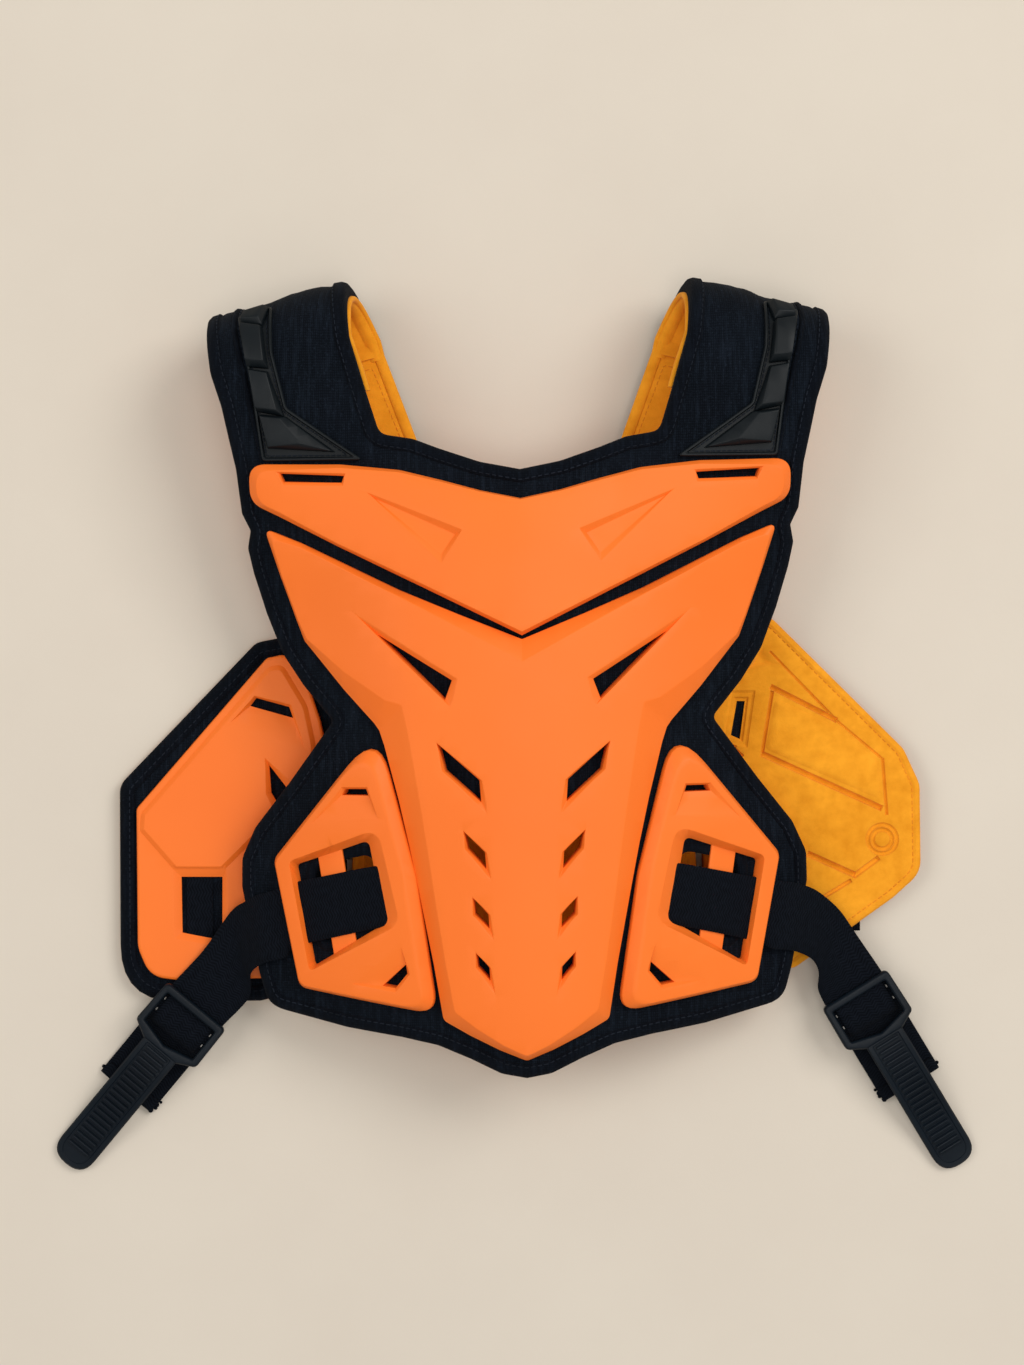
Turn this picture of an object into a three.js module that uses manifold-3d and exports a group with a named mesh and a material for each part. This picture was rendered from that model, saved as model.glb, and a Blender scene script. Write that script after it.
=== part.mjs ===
// Roost deflector: a padded chest and back protector, lying on its back.
// Millimetres, +Z up from the surface it lies on, +Y towards the shoulders,
// +X to the right of the page. Panels are drawn flat, as they are cut, and then
// laid on the arched form of the chest and wrapped over the shoulders.
import * as THREE from 'three';
import { mergeVertices } from 'three/addons/utils/BufferGeometryUtils.js';
import Module from 'manifold-3d';

const wasm = await Module();
wasm.setup();

// Panel sizes
const HALF_WIDTH = 160;
const BODY_LENGTH = 436;
const PAD_THICKNESS = 8;
const PAD_EDGE_ROUND = 2;
const LINING_THICKNESS = 3;
const GAP = 0.4;

// Form of the chest: height over the floor and how it falls away
const CREST_HEIGHT = 80;
const CREST_SHARE = 0.138;
const HEM_DROP = 20;
const SHOULDER_DROP = 10;
const CHEST_RADIUS = 260;
const ROUND_HALF_WIDTH = 100;
const FLATTEN_FROM_SHARE = 0.046;
const CHEST_COLUMNS = 3;
const HEM_ROWS = 3;
const SHOULDER_ROWS = 5;

// Shoulder straps
const STRAP_JOIN_SHARE = 0.378;
const STRAP_INNER_SHARE = 0.531;
const STRAP_WIDTH = 79;
const STRAP_RUN = 24;
const STRAP_NARROWING = 2;
const BEND_TILT = THREE.MathUtils.degToRad(14.5);
const BEND_SHIFT = 14;
const BEND_STEPS = 9;
const HORN_OVERLAP = 6;

// Back panel
const BACK_PLATE_THICKNESS = 3.2;
const BACK_PLATE_INSET = 7;

// Orange plates
const PLATE_EDGE = 3;
const LOWER_PLATE_RISE = 6;
const UPPER_PLATE_RISE = 3.5;
const RIDGE_RISE = 3.5;
const RIDGE_HALF_WIDTH = 52;
const RIB_PLATE_RISE = 4.5;
const TRIANGLE_DEPTH = 2.5;
const BAR_WIDTH = 14;
const BAR_THICKNESS = 1.9;

// Rubber guards on the shoulders
const GUARD_BASE_THICKNESS = 1.6;
const GUARD_BLOCK_THICKNESS = 4.6;
const GUARD_BLOCK_CHAMFER = 0.8;

// Side guards
const SIDE_GUARD_WIDTH = 129;
const SIDE_GUARD_LENGTH = 206;
const SIDE_GUARD_INNER = 101;
const SIDE_GUARD_FOOT = -178;
const SIDE_LINING_THICKNESS = 2.6;
const SIDE_PAD_THICKNESS = 6;
const SIDE_SHELL_THICKNESS = 3.2;
const SHELL_RISE = 1.6;
const SHELL_CHAMFER = 0.8;
const SHELL_RIDGE_CHAMFER = 1.2;
const SIDE_PAD_CHAMFER = 1.5;
const SIDE_LINING_CHAMFER = 1;

// Webbing
const WEB_WIDTH = 37;
const WEB_THICKNESS = 1.6;
const WEB_CLEARANCE = 0.4;
const GUARD_WEB_Y = -124.5;
const GUARD_WEB_TUCK = 9;
const GUARD_WEB_REACH = 92;
const EDGE_LIFT = 1.2;
const EDGE_STEPS = 4;
const BRIDGE_REACH = { upper: 0.66, lower: 0.42 };

// Hooks: a ring for the webbing and a ribbed pull tab in one moulding
const RING_LENGTH = 30;
const RING_HALF_WIDTH = 22.4;
const RING_RAIL = 3.6;
const RING_BAR = 3.6;
const RING_THICKNESS = 4.6;
const RING_LIFT = 14.2;
const RING_POINT = 4.5;
const RING_ROUND = 3;
const RING_TAPER = 6;
const RING_CHAMFER = 0.9;
const CROSS_BAR_SHARE = 0.42;
const CROSS_BAR_WIDTH = 8;
const CROSS_BAR_INSET = 0.4;
const CROSS_BAR_THICKNESS = 4;
const TAB_LENGTH = 117;
const TAB_HALF_WIDTH = 11.8;
const TAB_THICKNESS = 4;
const TAB_FOOT = 0.6;
const TAB_CHAMFER = 0.8;
const TAB_ROOT = 4;
const RIB_COUNT = 20;
const RIB_LENGTH = 14.5;
const RIB_HEIGHT = 1;
const RIB_FROM = 36;
const RIB_TO = 104;
const TAIL_LENGTH = 64;
const HOOKS = {
  left: { x: -186.2, y: -180.9, angle: THREE.MathUtils.degToRad(229.5) },
  right: { x: 185.5, y: -176, angle: THREE.MathUtils.degToRad(301) },
};

// Materials
const PLASTIC = { color: '#ff7a2e', roughness: 0.42, metalness: 0 };
const NAVY = { color: '#11182a', roughness: 0.9, metalness: 0 };
const YELLOW = { color: '#f2a02c', roughness: 0.95, metalness: 0 };
const RUBBER = { color: '#20262d', roughness: 0.65, metalness: 0 };
const WEBBING = { color: '#0e1424', roughness: 0.85, metalness: 0 };
const NYLON = { color: '#1b2431', roughness: 0.5, metalness: 0 };

// Heights that reach past every panel, for cuts that go right through
const FAR_BELOW = -60;
const FAR_ABOVE = 60;

// A short table: one row for each corner or fold, with named columns
function table(columns, rows) {
  return rows.map((row) => Object.fromEntries(columns.map((name, index) => [name, row[index]])));
}

// Outlines. x is a share of HALF_WIDTH, y a share of BODY_LENGTH, round is in mm.
// A half outline runs from the middle of its top edge to the middle of its bottom edge.
const FRONT_HALF = table(['x', 'y', 'round'], [
  [0, 0.264, 0],
  [0.138, 0.274, 0],
  [0.275, 0.292, 0],
  [0.362, 0.304, 6],
  [0.487, 0.310, 8],
  [STRAP_INNER_SHARE, STRAP_JOIN_SHARE, 0],
  [STRAP_INNER_SHARE + STRAP_WIDTH / HALF_WIDTH, STRAP_JOIN_SHARE, 0],
  [0.966, 0.266, 0],
  [0.950, 0.213, 3],
  [0.922, 0.194, 2],
  [0.934, 0.172, 4],
  [0.912, 0.133, 0],
  [0.863, 0.071, 8],
  [0.781, 0.014, 10],
  [0.650, -0.047, 5],
  [0.938, -0.188, 0],
  [0.991, -0.218, 16],
  [0.906, -0.411, 16],
  [0.631, -0.431, 0],
  [0.431, -0.443, 0],
  [0.300, -0.453, 8],
  [0.188, -0.470, 0],
  [0, -0.495, 0],
]);
const PAD_WINDOW = table(['x', 'y', 'round'], [
  [0.744, -0.229, 7],
  [0.537, -0.211, 7],
  [0.487, -0.287, 7],
  [0.713, -0.333, 7],
]);
const VENT_RELIEF = table(['x', 'y', 'round'], [
  [0.287, -0.076, 3],
  [0.138, -0.112, 3],
  [0.094, -0.385, 2],
  [0.169, -0.335, 3],
]);
const BACK_HALF = table(['x', 'y', 'round'], [
  [0, 0.229, 0],
  [0.188, 0.239, 12],
  [0.325, 0.275, 16],
  [0.831, 0.172, 20],
  [0.606, 0.034, 16],
  [0.588, -0.138, 0],
  [0.606, -0.275, 0],
  [0.588, -0.394, 20],
  [0, -0.454, 0],
]);
const HORN_CORNERS = 3;

// Plates. edge columns give the outline and crease columns the paired corner of the
// raised face, whose lift is a share of the plate's rise.
const UPPER_PLATE_HALF = table(['x', 'y', 'creaseX', 'creaseY', 'lift'], [
  [0, 0.226, 0, 0.217, 1],
  [0.138, 0.237, 0.138, 0.228, 1],
  [0.269, 0.251, 0.269, 0.242, 1],
  [0.406, 0.265, 0.406, 0.256, 1],
  [0.606, 0.274, 0.606, 0.265, 1],
  [0.856, 0.276, 0.838, 0.267, 0.8],
  [0.897, 0.264, 0.869, 0.259, 0.7],
  [0.906, 0.247, 0.878, 0.247, 0.7],
  [0.884, 0.226, 0.863, 0.233, 0.7],
  [0.816, 0.212, 0.806, 0.222, 0.8],
  [0, 0.058, 0, 0.070, 1],
]);
const LOWER_PLATE_HALF = table(['x', 'y', 'creaseX', 'creaseY', 'lift'], [
  [0, 0.054, 0, 0.026, 1],
  [0.625, 0.157, 0.625, 0.153, 0.35],
  [0.866, 0.196, 0.838, 0.186, 0],
  [0.744, 0.055, 0.725, 0.057, 0.15],
  [0.603, -0.007, 0.447, -0.019, 0.9],
  [0.494, -0.050, 0.375, -0.057, 1],
  [0.416, -0.144, 0.331, -0.149, 1],
  [0.356, -0.257, 0.297, -0.243, 1],
  [0.281, -0.420, 0.234, -0.404, 1],
  [0, -0.472, 0, -0.454, 1],
]);
const RIB_PLATE = table(['x', 'y', 'creaseX', 'creaseY', 'lift'], [
  [0.525, -0.071, 0.537, -0.083, 1],
  [0.466, -0.085, 0.497, -0.094, 1],
  [0.300, -0.392, 0.341, -0.384, 1],
  [0.388, -0.408, 0.400, -0.398, 1],
  [0.775, -0.381, 0.756, -0.372, 1],
  [0.859, -0.216, 0.834, -0.217, 1],
  [0.588, -0.096, 0.578, -0.103, 1],
]);
const RIB_WINDOW = table(['x', 'y', 'round'], [
  [0.784, -0.220, 3],
  [0.706, -0.209, 0],
  [0.528, -0.189, 5],
  [0.447, -0.292, 7],
  [0.734, -0.352, 4],
]);
const BAR_ENDS = table(['x', 'y'], [
  [0.670, -0.185],
  [0.622, -0.350],
]);
const RIB_WEB = { innerX: 0.38, outerX: 0.93, topY: -0.226, lowY: -0.332, tiltY: 0.021 };

// Cut-outs of the right half. The left half mirrors them.
const LOWER_VENTS = [
  [[0.472, 0.062], [0.230, 0.004], [0.254, -0.018]],
  [[0.279, -0.073], [0.143, -0.118], [0.138, -0.147], [0.258, -0.106]],
  [[0.196, -0.182], [0.128, -0.207], [0.124, -0.230], [0.187, -0.203]],
  [[0.169, -0.264], [0.119, -0.284], [0.116, -0.303], [0.166, -0.286]],
  [[0.161, -0.333], [0.118, -0.350], [0.115, -0.368], [0.158, -0.350]],
].map((rows) => table(['x', 'y'], rows));
const UPPER_SLOT = table(['x', 'y'], [[0.588, 0.259], [0.812, 0.265], [0.799, 0.255], [0.597, 0.251]]);
const UPPER_TRIANGLE = table(['x', 'y'], [[0.520, 0.242], [0.208, 0.187], [0.262, 0.150]]);
const RIB_SLOTS = [
  [[0.535, -0.128], [0.601, -0.128], [0.612, -0.136], [0.528, -0.136]],
  [[0.408, -0.348], [0.403, -0.359], [0.449, -0.375], [0.487, -0.371]],
].map((rows) => table(['x', 'y'], rows));

// Rubber guard on the strap: its base and the blocks that stand on it
const GUARD_BASE = table(['x', 'y', 'round'], [
  [0.847, 0.482, 3],
  [0.781, 0.344, 6],
  [0.575, 0.290, 3],
  [0.570, 0.282, 2],
  [0.872, 0.282, 4],
  [0.960, 0.464, 4],
]);
const GUARD_BLOCKS = [
  [[0.930, 0.474], [0.864, 0.481], [0.873, 0.452], [0.942, 0.456]],
  [[0.938, 0.449], [0.872, 0.445], [0.858, 0.404], [0.922, 0.408]],
  [[0.916, 0.397], [0.852, 0.391], [0.826, 0.346], [0.890, 0.351]],
  [[0.884, 0.341], [0.814, 0.333], [0.735, 0.303], [0.620, 0.290], [0.862, 0.292]],
].map((rows) => table(['x', 'y'], rows));

// Side guards. out is a share of SIDE_GUARD_WIDTH from the inner edge, up a share of
// SIDE_GUARD_LENGTH from the foot.
const LEFT_GUARD_PAD = table(['out', 'up', 'round'], [
  [0.209, 1, 8],
  [0.380, 0.981, 10],
  [0.985, 0.595, 12],
  [0.992, 0, 32],
  [0.380, 0, 8],
  [0, 0.063, 8],
  [0, 0.806, 12],
]);
const LEFT_GUARD_SHELL = table(['out', 'up', 'round'], [
  [0.310, 0.961, 7],
  [0.915, 0.529, 4],
  [0.915, 0.063, 16],
  [0.085, 0.063, 8],
  [0.085, 0.716, 20],
  [0.180, 0.883, 10],
]);
const LEFT_GUARD_RIDGE = table(['out', 'up'], [
  [0.300, 0.915],
  [0.880, 0.510],
  [0.740, 0.372],
  [0.535, 0.366],
  [0.420, 0.445],
  [0.130, 0.500],
  [0.130, 0.700],
]);
const LEFT_GUARD_WINDOW = table(['out', 'up', 'round'], [
  [0.718, 0.345, 2],
  [0.538, 0.345, 2],
  [0.538, 0.172, 2],
  [0.718, 0.192, 2],
]);
const LEFT_GUARD_SLOTS = [
  [[0.380, 0.830], [0.237, 0.805], [0.221, 0.775], [0.406, 0.810]],
  [[0.328, 0.646], [0.254, 0.587], [0.299, 0.548], [0.320, 0.570]],
].map((rows) => table(['out', 'up'], rows));
const RIGHT_GUARD_OUTLINE = table(['out', 'up', 'round'], [
  [0.209, 1.035, 8],
  [0.318, 1.030, 6],
  [0.884, 0.670, 14],
  [0.953, 0.573, 14],
  [0.953, 0.330, 16],
  [0.830, 0.262, 10],
  [0.395, 0.073, 8],
  [0, 0.063, 8],
  [0, 0.806, 12],
]);
const RIGHT_GUARD_SLOT = table(['out', 'up'], [
  [0.150, 0.806],
  [0.195, 0.806],
  [0.167, 0.700],
  [0.124, 0.712],
]);

// Plan helpers
const onBody = ({ x, y, ...rest }) => ({ ...rest, x: x * HALF_WIDTH, y: y * BODY_LENGTH });
const mirror = ({ x, ...rest }) => ({ ...rest, x: -x });
const onGuard = (side) => ({ out, up, ...rest }) => ({
  ...rest,
  x: side * (SIDE_GUARD_INNER + out * SIDE_GUARD_WIDTH),
  y: SIDE_GUARD_FOOT + up * SIDE_GUARD_LENGTH,
});

// A whole outline from its right half
function wholeFromHalf(half) {
  return [...half, ...half.slice(1, -1).reverse().map(mirror)];
}

// A THREE.Shape through the corners, each turned by its round
function outlineShape(corners) {
  const shape = new THREE.Shape();
  corners.forEach((corner, index) => {
    const point = new THREE.Vector2(corner.x, corner.y);
    const before = new THREE.Vector2().copy(corners.at(index - 1)).sub(point);
    const after = new THREE.Vector2().copy(corners[(index + 1) % corners.length]).sub(point);
    const room = Math.min(before.length(), after.length()) / 2.1;
    const turn = before.angleTo(after);
    const cut = Math.min((corner.round ?? 0) / Math.tan(turn / 2), room);
    const start = point.clone().add(before.setLength(cut || 1e-9));
    const end = point.clone().add(after.setLength(cut || 1e-9));
    if (index === 0) shape.moveTo(start.x, start.y);
    else shape.lineTo(start.x, start.y);
    if (cut > 0) shape.quadraticCurveTo(point.x, point.y, end.x, end.y);
  });
  shape.closePath();
  return shape;
}

// Solids are made flat, cut flat, and bent last
function solidFromGeometry(geometry) {
  geometry.deleteAttribute('normal');
  geometry.deleteAttribute('uv');
  const merged = mergeVertices(geometry, 1e-4);
  return new wasm.Manifold(new wasm.Mesh({
    numProp: 3,
    vertProperties: new Float32Array(merged.attributes.position.array),
    triVerts: new Uint32Array(merged.index.array),
  }));
}

function slab(corners, low, high, edgeRound = 0) {
  const depth = high - low - 2 * edgeRound;
  const geometry = new THREE.ExtrudeGeometry(outlineShape(corners), {
    depth,
    curveSegments: 3,
    bevelEnabled: edgeRound > 0,
    bevelThickness: edgeRound,
    bevelSize: edgeRound,
    bevelOffset: -edgeRound,
    bevelSegments: 1,
  });
  geometry.translate(0, 0, low + edgeRound);
  return solidFromGeometry(geometry);
}

// A plate with a flat back, a low edge and a raised face joined to it by facets
function raisedPlate(rows, low, edge, rise) {
  const count = rows.length;
  const outline = rows.map((row) => new THREE.Vector2(row.x, row.y));
  const crease = rows.map((row) => new THREE.Vector2(row.creaseX, row.creaseY));
  const positions = [];
  const bottom = outline.map((p) => [p.x, p.y, low]);
  const rim = outline.map((p) => [p.x, p.y, low + edge]);
  const face = crease.map((p, index) => [p.x, p.y, low + edge + rise * rows[index].lift]);
  const triangle = (...corners) => positions.push(...corners.flat());
  for (const [a, b, c] of THREE.ShapeUtils.triangulateShape(outline, [])) {
    triangle(bottom[a], bottom[c], bottom[b]);
  }
  for (const [a, b, c] of THREE.ShapeUtils.triangulateShape(crease, [])) {
    triangle(face[a], face[b], face[c]);
  }
  for (let index = 0; index < count; index += 1) {
    const next = (index + 1) % count;
    triangle(bottom[index], bottom[next], rim[next]);
    triangle(bottom[index], rim[next], rim[index]);
    triangle(rim[index], rim[next], face[next]);
    triangle(rim[index], face[next], face[index]);
  }
  const geometry = new THREE.BufferGeometry();
  geometry.setAttribute('position', new THREE.Float32BufferAttribute(positions, 3));
  return solidFromGeometry(geometry);
}

const onPlate = (row) => ({
  ...onBody(row),
  creaseX: row.creaseX * HALF_WIDTH,
  creaseY: row.creaseY * BODY_LENGTH,
});
const mirrorPlate = (row) => ({ ...mirror(row), creaseX: -row.creaseX });
const counterClockwise = (rows) => {
  const points = rows.map((row) => new THREE.Vector2(row.x, row.y));
  return THREE.ShapeUtils.area(points) < 0 ? [...rows].reverse() : rows;
};

function cutThrough(solid, outlines, low = FAR_BELOW, high = FAR_ABOVE) {
  return outlines.reduce((rest, corners) => rest.subtract(slab(corners, low, high)), solid);
}

// Form of the front panel
const smooth = (t) => {
  const share = THREE.MathUtils.clamp(t, 0, 1);
  return share * share * (3 - 2 * share);
};
const CREST_Y = CREST_SHARE * BODY_LENGTH;
const STRAP_JOIN_Y = STRAP_JOIN_SHARE * BODY_LENGTH;
const FLATTEN_FROM_Y = FLATTEN_FROM_SHARE * BODY_LENGTH;
const HEM_Y = FRONT_HALF.at(-1).y * BODY_LENGTH;
const SIDE_SLOPE = ROUND_HALF_WIDTH / Math.sqrt(CHEST_RADIUS ** 2 - ROUND_HALF_WIDTH ** 2);
const fallAt = (x) => CHEST_RADIUS - Math.sqrt(CHEST_RADIUS ** 2 - x * x);

function smoothHeight(x, y) {
  const hem = ((CREST_Y - y) / (CREST_Y - HEM_Y)) ** 2;
  const shoulder = smooth((y - CREST_Y) / (STRAP_JOIN_Y - CREST_Y));
  const crown = CREST_HEIGHT - (y < CREST_Y ? HEM_DROP * hem : SHOULDER_DROP * shoulder);
  const reach = Math.abs(x);
  const beyond = Math.max(0, reach - ROUND_HALF_WIDTH);
  const fall = fallAt(Math.min(reach, ROUND_HALF_WIDTH)) + beyond * SIDE_SLOPE;
  const flatten = smooth((y - FLATTEN_FROM_Y) / (STRAP_JOIN_Y - FLATTEN_FROM_Y));
  return crown - fall * (1 - flatten);
}

// The straps bend round a lying cylinder from the front panel to the back one
const STRAP_TOP = CREST_HEIGHT - SHOULDER_DROP;
const BACK_PAD_LOW = BACK_PLATE_THICKNESS + GAP;
const BEND_RADIUS = (STRAP_TOP - BACK_PAD_LOW) / 2;
const BEND_HEIGHT = BACK_PAD_LOW + BEND_RADIUS;
const BEND_ARC = Math.PI * BEND_RADIUS;
const BEND_ALONG = { x: Math.cos(BEND_TILT), y: -Math.sin(BEND_TILT) };
const BEND_AWAY = { x: Math.sin(BEND_TILT), y: Math.cos(BEND_TILT) };
const STRAP_INNER_X = STRAP_INNER_SHARE * HALF_WIDTH;
const BEND_START = { x: STRAP_INNER_X + STRAP_RUN / 3, y: STRAP_JOIN_Y + STRAP_RUN };

const beyondBend = (x, y) => (
  (Math.abs(x) - BEND_START.x) * BEND_AWAY.x + (y - BEND_START.y) * BEND_AWAY.y
);

// The form is made of flat facets between the lines where the panels bend, so that
// every layer keeps its distance from the next. A facet is half a cell of the grid.
const COLUMN = ROUND_HALF_WIDTH / CHEST_COLUMNS;
const HEM_ROW = (FLATTEN_FROM_Y - HEM_Y) / HEM_ROWS;
const SHOULDER_ROW = (STRAP_JOIN_Y - FLATTEN_FROM_Y) / SHOULDER_ROWS;

function nodeOf(column, rowY) {
  const x = column * COLUMN;
  const step = 0.5;
  const slopeX = (smoothHeight(x + step, rowY) - smoothHeight(x - step, rowY)) / (2 * step);
  const slopeY = (smoothHeight(x, rowY + step) - smoothHeight(x, rowY - step)) / (2 * step);
  const normal = new THREE.Vector3(-slopeX, -slopeY, 1).normalize();
  return { height: smoothHeight(x, rowY), normal };
}

function facetAt(x, y) {
  const row = y < FLATTEN_FROM_Y ? HEM_ROW : SHOULDER_ROW;
  const shareY = (y - FLATTEN_FROM_Y) / row;
  const shareX = Math.abs(x) / COLUMN;
  const column = Math.floor(shareX);
  const low = FLATTEN_FROM_Y + Math.floor(shareY) * row;
  const s = shareX - column;
  const t = shareY - Math.floor(shareY);
  const corners = [
    { node: nodeOf(column, low), share: 1 - Math.max(s, t) },
    { node: nodeOf(column + 1, low + row), share: Math.min(s, t) },
    s > t
      ? { node: nodeOf(column + 1, low), share: s - t }
      : { node: nodeOf(column, low + row), share: t - s },
  ];
  const normal = new THREE.Vector3();
  let height = 0;
  for (const { node, share } of corners) {
    height += node.height * share;
    normal.addScaledVector(node.normal, share);
  }
  normal.x *= Math.sign(x) || 0;
  return { height, normal };
}

// Lays a point of the flat pattern on the form: lift is measured out of the pad's face
function layOnForm(point) {
  const { x, y, z: lift } = point;
  const away = beyondBend(x, y);
  if (away > 0 && y > STRAP_JOIN_Y) return wrapOnBend(point, away);
  const { height, normal } = facetAt(x, y);
  return new THREE.Vector3(x, y, height).addScaledVector(normal, lift);
}

function wrapOnBend({ x, y, z: lift }, away) {
  const side = Math.sign(x);
  const turn = Math.min(away, BEND_ARC) / BEND_RADIUS;
  const beyondArc = Math.max(0, away - BEND_ARC);
  const reach = (BEND_RADIUS + lift) * Math.sin(turn) - beyondArc;
  const back = reach - away;
  return new THREE.Vector3(
    x + side * back * BEND_AWAY.x,
    y + back * BEND_AWAY.y,
    BEND_HEIGHT + (BEND_RADIUS + lift) * Math.cos(turn),
  );
}

// A bend line may end at the middle or at a row
const SNAP = 1e-3;
const isActive = (p, { side = 0, aboveY = -Infinity }) => (
  p.x * side >= -SNAP && p.y >= aboveY - SNAP
);

function lineOffset(p, line) {
  const distance = (line.nx * p.x + line.ny * p.y - line.at) / Math.hypot(line.nx, line.ny);
  return Math.abs(distance) < SNAP ? 0 : distance;
}

// Cuts every triangle along a line of the plan, so that the mesh can bend there
function splitAlong(mesh, line) {
  const { points, triangles } = mesh;
  const offset = points.map((p) => lineOffset(p, line));
  const cuts = new Map();
  const added = [];
  const cutEdge = (a, b) => {
    const [low, high] = a < b ? [a, b] : [b, a];
    const key = low * points.length + high;
    if (!cuts.has(key)) {
      const share = offset[low] / (offset[low] - offset[high]);
      cuts.set(key, points.length + cuts.size);
      added.push(points[low].clone().lerp(points[high], share));
    }
    return cuts.get(key);
  };
  const kept = [];
  for (const corners of triangles) {
    const beyond = corners.some((corner) => !isActive(points[corner], line));
    const onlyBelow = corners.every((corner) => offset[corner] <= 0);
    const onlyAbove = corners.every((corner) => offset[corner] >= 0);
    if (beyond || onlyBelow || onlyAbove) {
      kept.push(corners);
      continue;
    }
    const below = [];
    const above = [];
    corners.forEach((corner, index) => {
      const next = corners[(index + 1) % 3];
      if (offset[corner] <= 0) below.push(corner);
      if (offset[corner] >= 0) above.push(corner);
      if (offset[corner] * offset[next] < 0) {
        const cut = cutEdge(corner, next);
        below.push(cut);
        above.push(cut);
      }
    });
    for (const ring of [below, above]) {
      for (let index = 1; index + 1 < ring.length; index += 1) {
        kept.push([ring[0], ring[index], ring[index + 1]]);
      }
    }
  }
  return { points: [...points, ...added], triangles: kept };
}

function flatMesh(solid) {
  const { vertProperties, triVerts, numProp } = solid.getMesh();
  const points = [];
  for (let index = 0; index < vertProperties.length; index += numProp) {
    points.push(new THREE.Vector3(...vertProperties.slice(index, index + 3)));
  }
  const triangles = [];
  for (let index = 0; index < triVerts.length; index += 3) {
    triangles.push([...triVerts.slice(index, index + 3)]);
  }
  return { points, triangles };
}

function geometryOf({ points, triangles }) {
  const geometry = new THREE.BufferGeometry();
  const positions = points.flatMap((p) => [p.x, p.y, p.z]);
  geometry.setAttribute('position', new THREE.Float32BufferAttribute(positions, 3));
  geometry.setIndex(triangles.flat());
  geometry.computeVertexNormals();
  return geometry;
}

// The lines where panels may bend: columns down the chest, rows across it and the
// diagonals of the cells where the sides flatten towards the shoulders
function bendLines() {
  const lines = [{ nx: 1, ny: 0, at: 0 }];
  const columns = Math.ceil(HALF_WIDTH * 1.1 / COLUMN);
  for (let row = 0; row < HEM_ROWS; row += 1) {
    lines.push({ nx: 0, ny: 1, at: HEM_Y + row * HEM_ROW });
  }
  for (let row = 0; row <= SHOULDER_ROWS; row += 1) {
    lines.push({ nx: 0, ny: 1, at: FLATTEN_FROM_Y + row * SHOULDER_ROW });
  }
  for (const side of [-1, 1]) {
    for (let column = 1; column < columns; column += 1) {
      lines.push({ nx: 1, ny: 0, at: side * column * COLUMN });
    }
    for (let start = 1 - SHOULDER_ROWS; start < SHOULDER_ROWS; start += 1) {
      lines.push({
        nx: -side * SHOULDER_ROW,
        ny: COLUMN,
        at: COLUMN * (FLATTEN_FROM_Y + start * SHOULDER_ROW),
        side,
        aboveY: FLATTEN_FROM_Y,
      });
    }
  }
  return lines;
}

function foldLines(side) {
  const lines = [];
  for (let row = 0; row <= BEND_STEPS; row += 1) {
    const away = BEND_ARC * row / BEND_STEPS;
    lines.push({
      nx: side * BEND_AWAY.x,
      ny: BEND_AWAY.y,
      at: BEND_START.x * BEND_AWAY.x + BEND_START.y * BEND_AWAY.y + away,
      side,
    });
  }
  return lines;
}

// Drops the points inside a flat face that no bend needs: each slides along its bend
// line to a neighbour, as long as no triangle turns over
function thinned(mesh, lines) {
  const { points } = mesh;
  const triangles = mesh.triangles.map((corners) => [...corners]);
  const around = points.map(() => new Set());
  triangles.forEach((corners, index) => corners.forEach((corner) => around[corner].add(index)));
  const meets = (p, line) => lineOffset(p, line) === 0 && isActive(p, line);
  const onLines = points.map((p) => lines.filter((line) => meets(p, line)));
  const facing = ([a, b, c]) => new THREE.Vector3()
    .subVectors(points[b], points[a])
    .cross(new THREE.Vector3().subVectors(points[c], points[a]));
  points.forEach((point, vertex) => {
    if (onLines[vertex].length !== 1) return;
    const fan = [...around[vertex]];
    const first = facing(triangles[fan[0]]).normalize();
    if (fan.some((index) => facing(triangles[index]).normalize().dot(first) < 1 - 1e-7)) return;
    const neighbours = new Set(fan.flatMap((index) => triangles[index]));
    for (const other of neighbours) {
      if (other === vertex || !onLines[other].includes(onLines[vertex][0])) continue;
      const moved = fan.filter((index) => !triangles[index].includes(other));
      const turned = moved.map((index) => triangles[index].map((c) => (c === vertex ? other : c)));
      if (turned.some((corners) => facing(corners).dot(first) < 1e-2)) continue;
      moved.forEach((index, order) => {
        triangles[index] = turned[order];
        around[other].add(index);
      });
      for (const index of fan.filter((each) => !moved.includes(each))) {
        triangles[index].forEach((corner) => around[corner].delete(index));
        triangles[index] = null;
      }
      around[vertex].clear();
      return;
    }
  });
  return compact(points, triangles.filter(Boolean));
}

// Keeps only the points in use
function compact(points, triangles) {
  const used = [...new Set(triangles.flat())];
  const place = new Map(used.map((vertex, index) => [vertex, index]));
  return {
    points: used.map((vertex) => points[vertex]),
    triangles: triangles.map((corners) => corners.map((corner) => place.get(corner))),
  };
}

const CHEST_LINES = bendLines();
const bent = (solid, lines, shape = layOnForm) => {
  const mesh = thinned(lines.reduce(splitAlong, flatMesh(solid)), lines);
  return geometryOf({ ...mesh, points: mesh.points.map(shape) });
};
const straight = (solid) => geometryOf(flatMesh(solid));

const object = new THREE.Group();
function addPiece(name, geometry, finish) {
  const mesh = new THREE.Mesh(geometry, new THREE.MeshStandardMaterial(finish));
  mesh.name = name;
  object.add(mesh);
  return mesh;
}

const SIDES = { left: -1, right: 1 };
const forSide = (side, rows) => (side < 0 ? rows.map(mirror) : rows);

// Front panel
const LINING_TOP = -PAD_THICKNESS - GAP;
const FRONT_OUTLINE = wholeFromHalf(FRONT_HALF.map(onBody));
const FRONT_CUTS = [PAD_WINDOW, VENT_RELIEF].flatMap((rows) => (
  Object.values(SIDES).map((side) => forSide(side, rows.map(onBody)))
));

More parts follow.
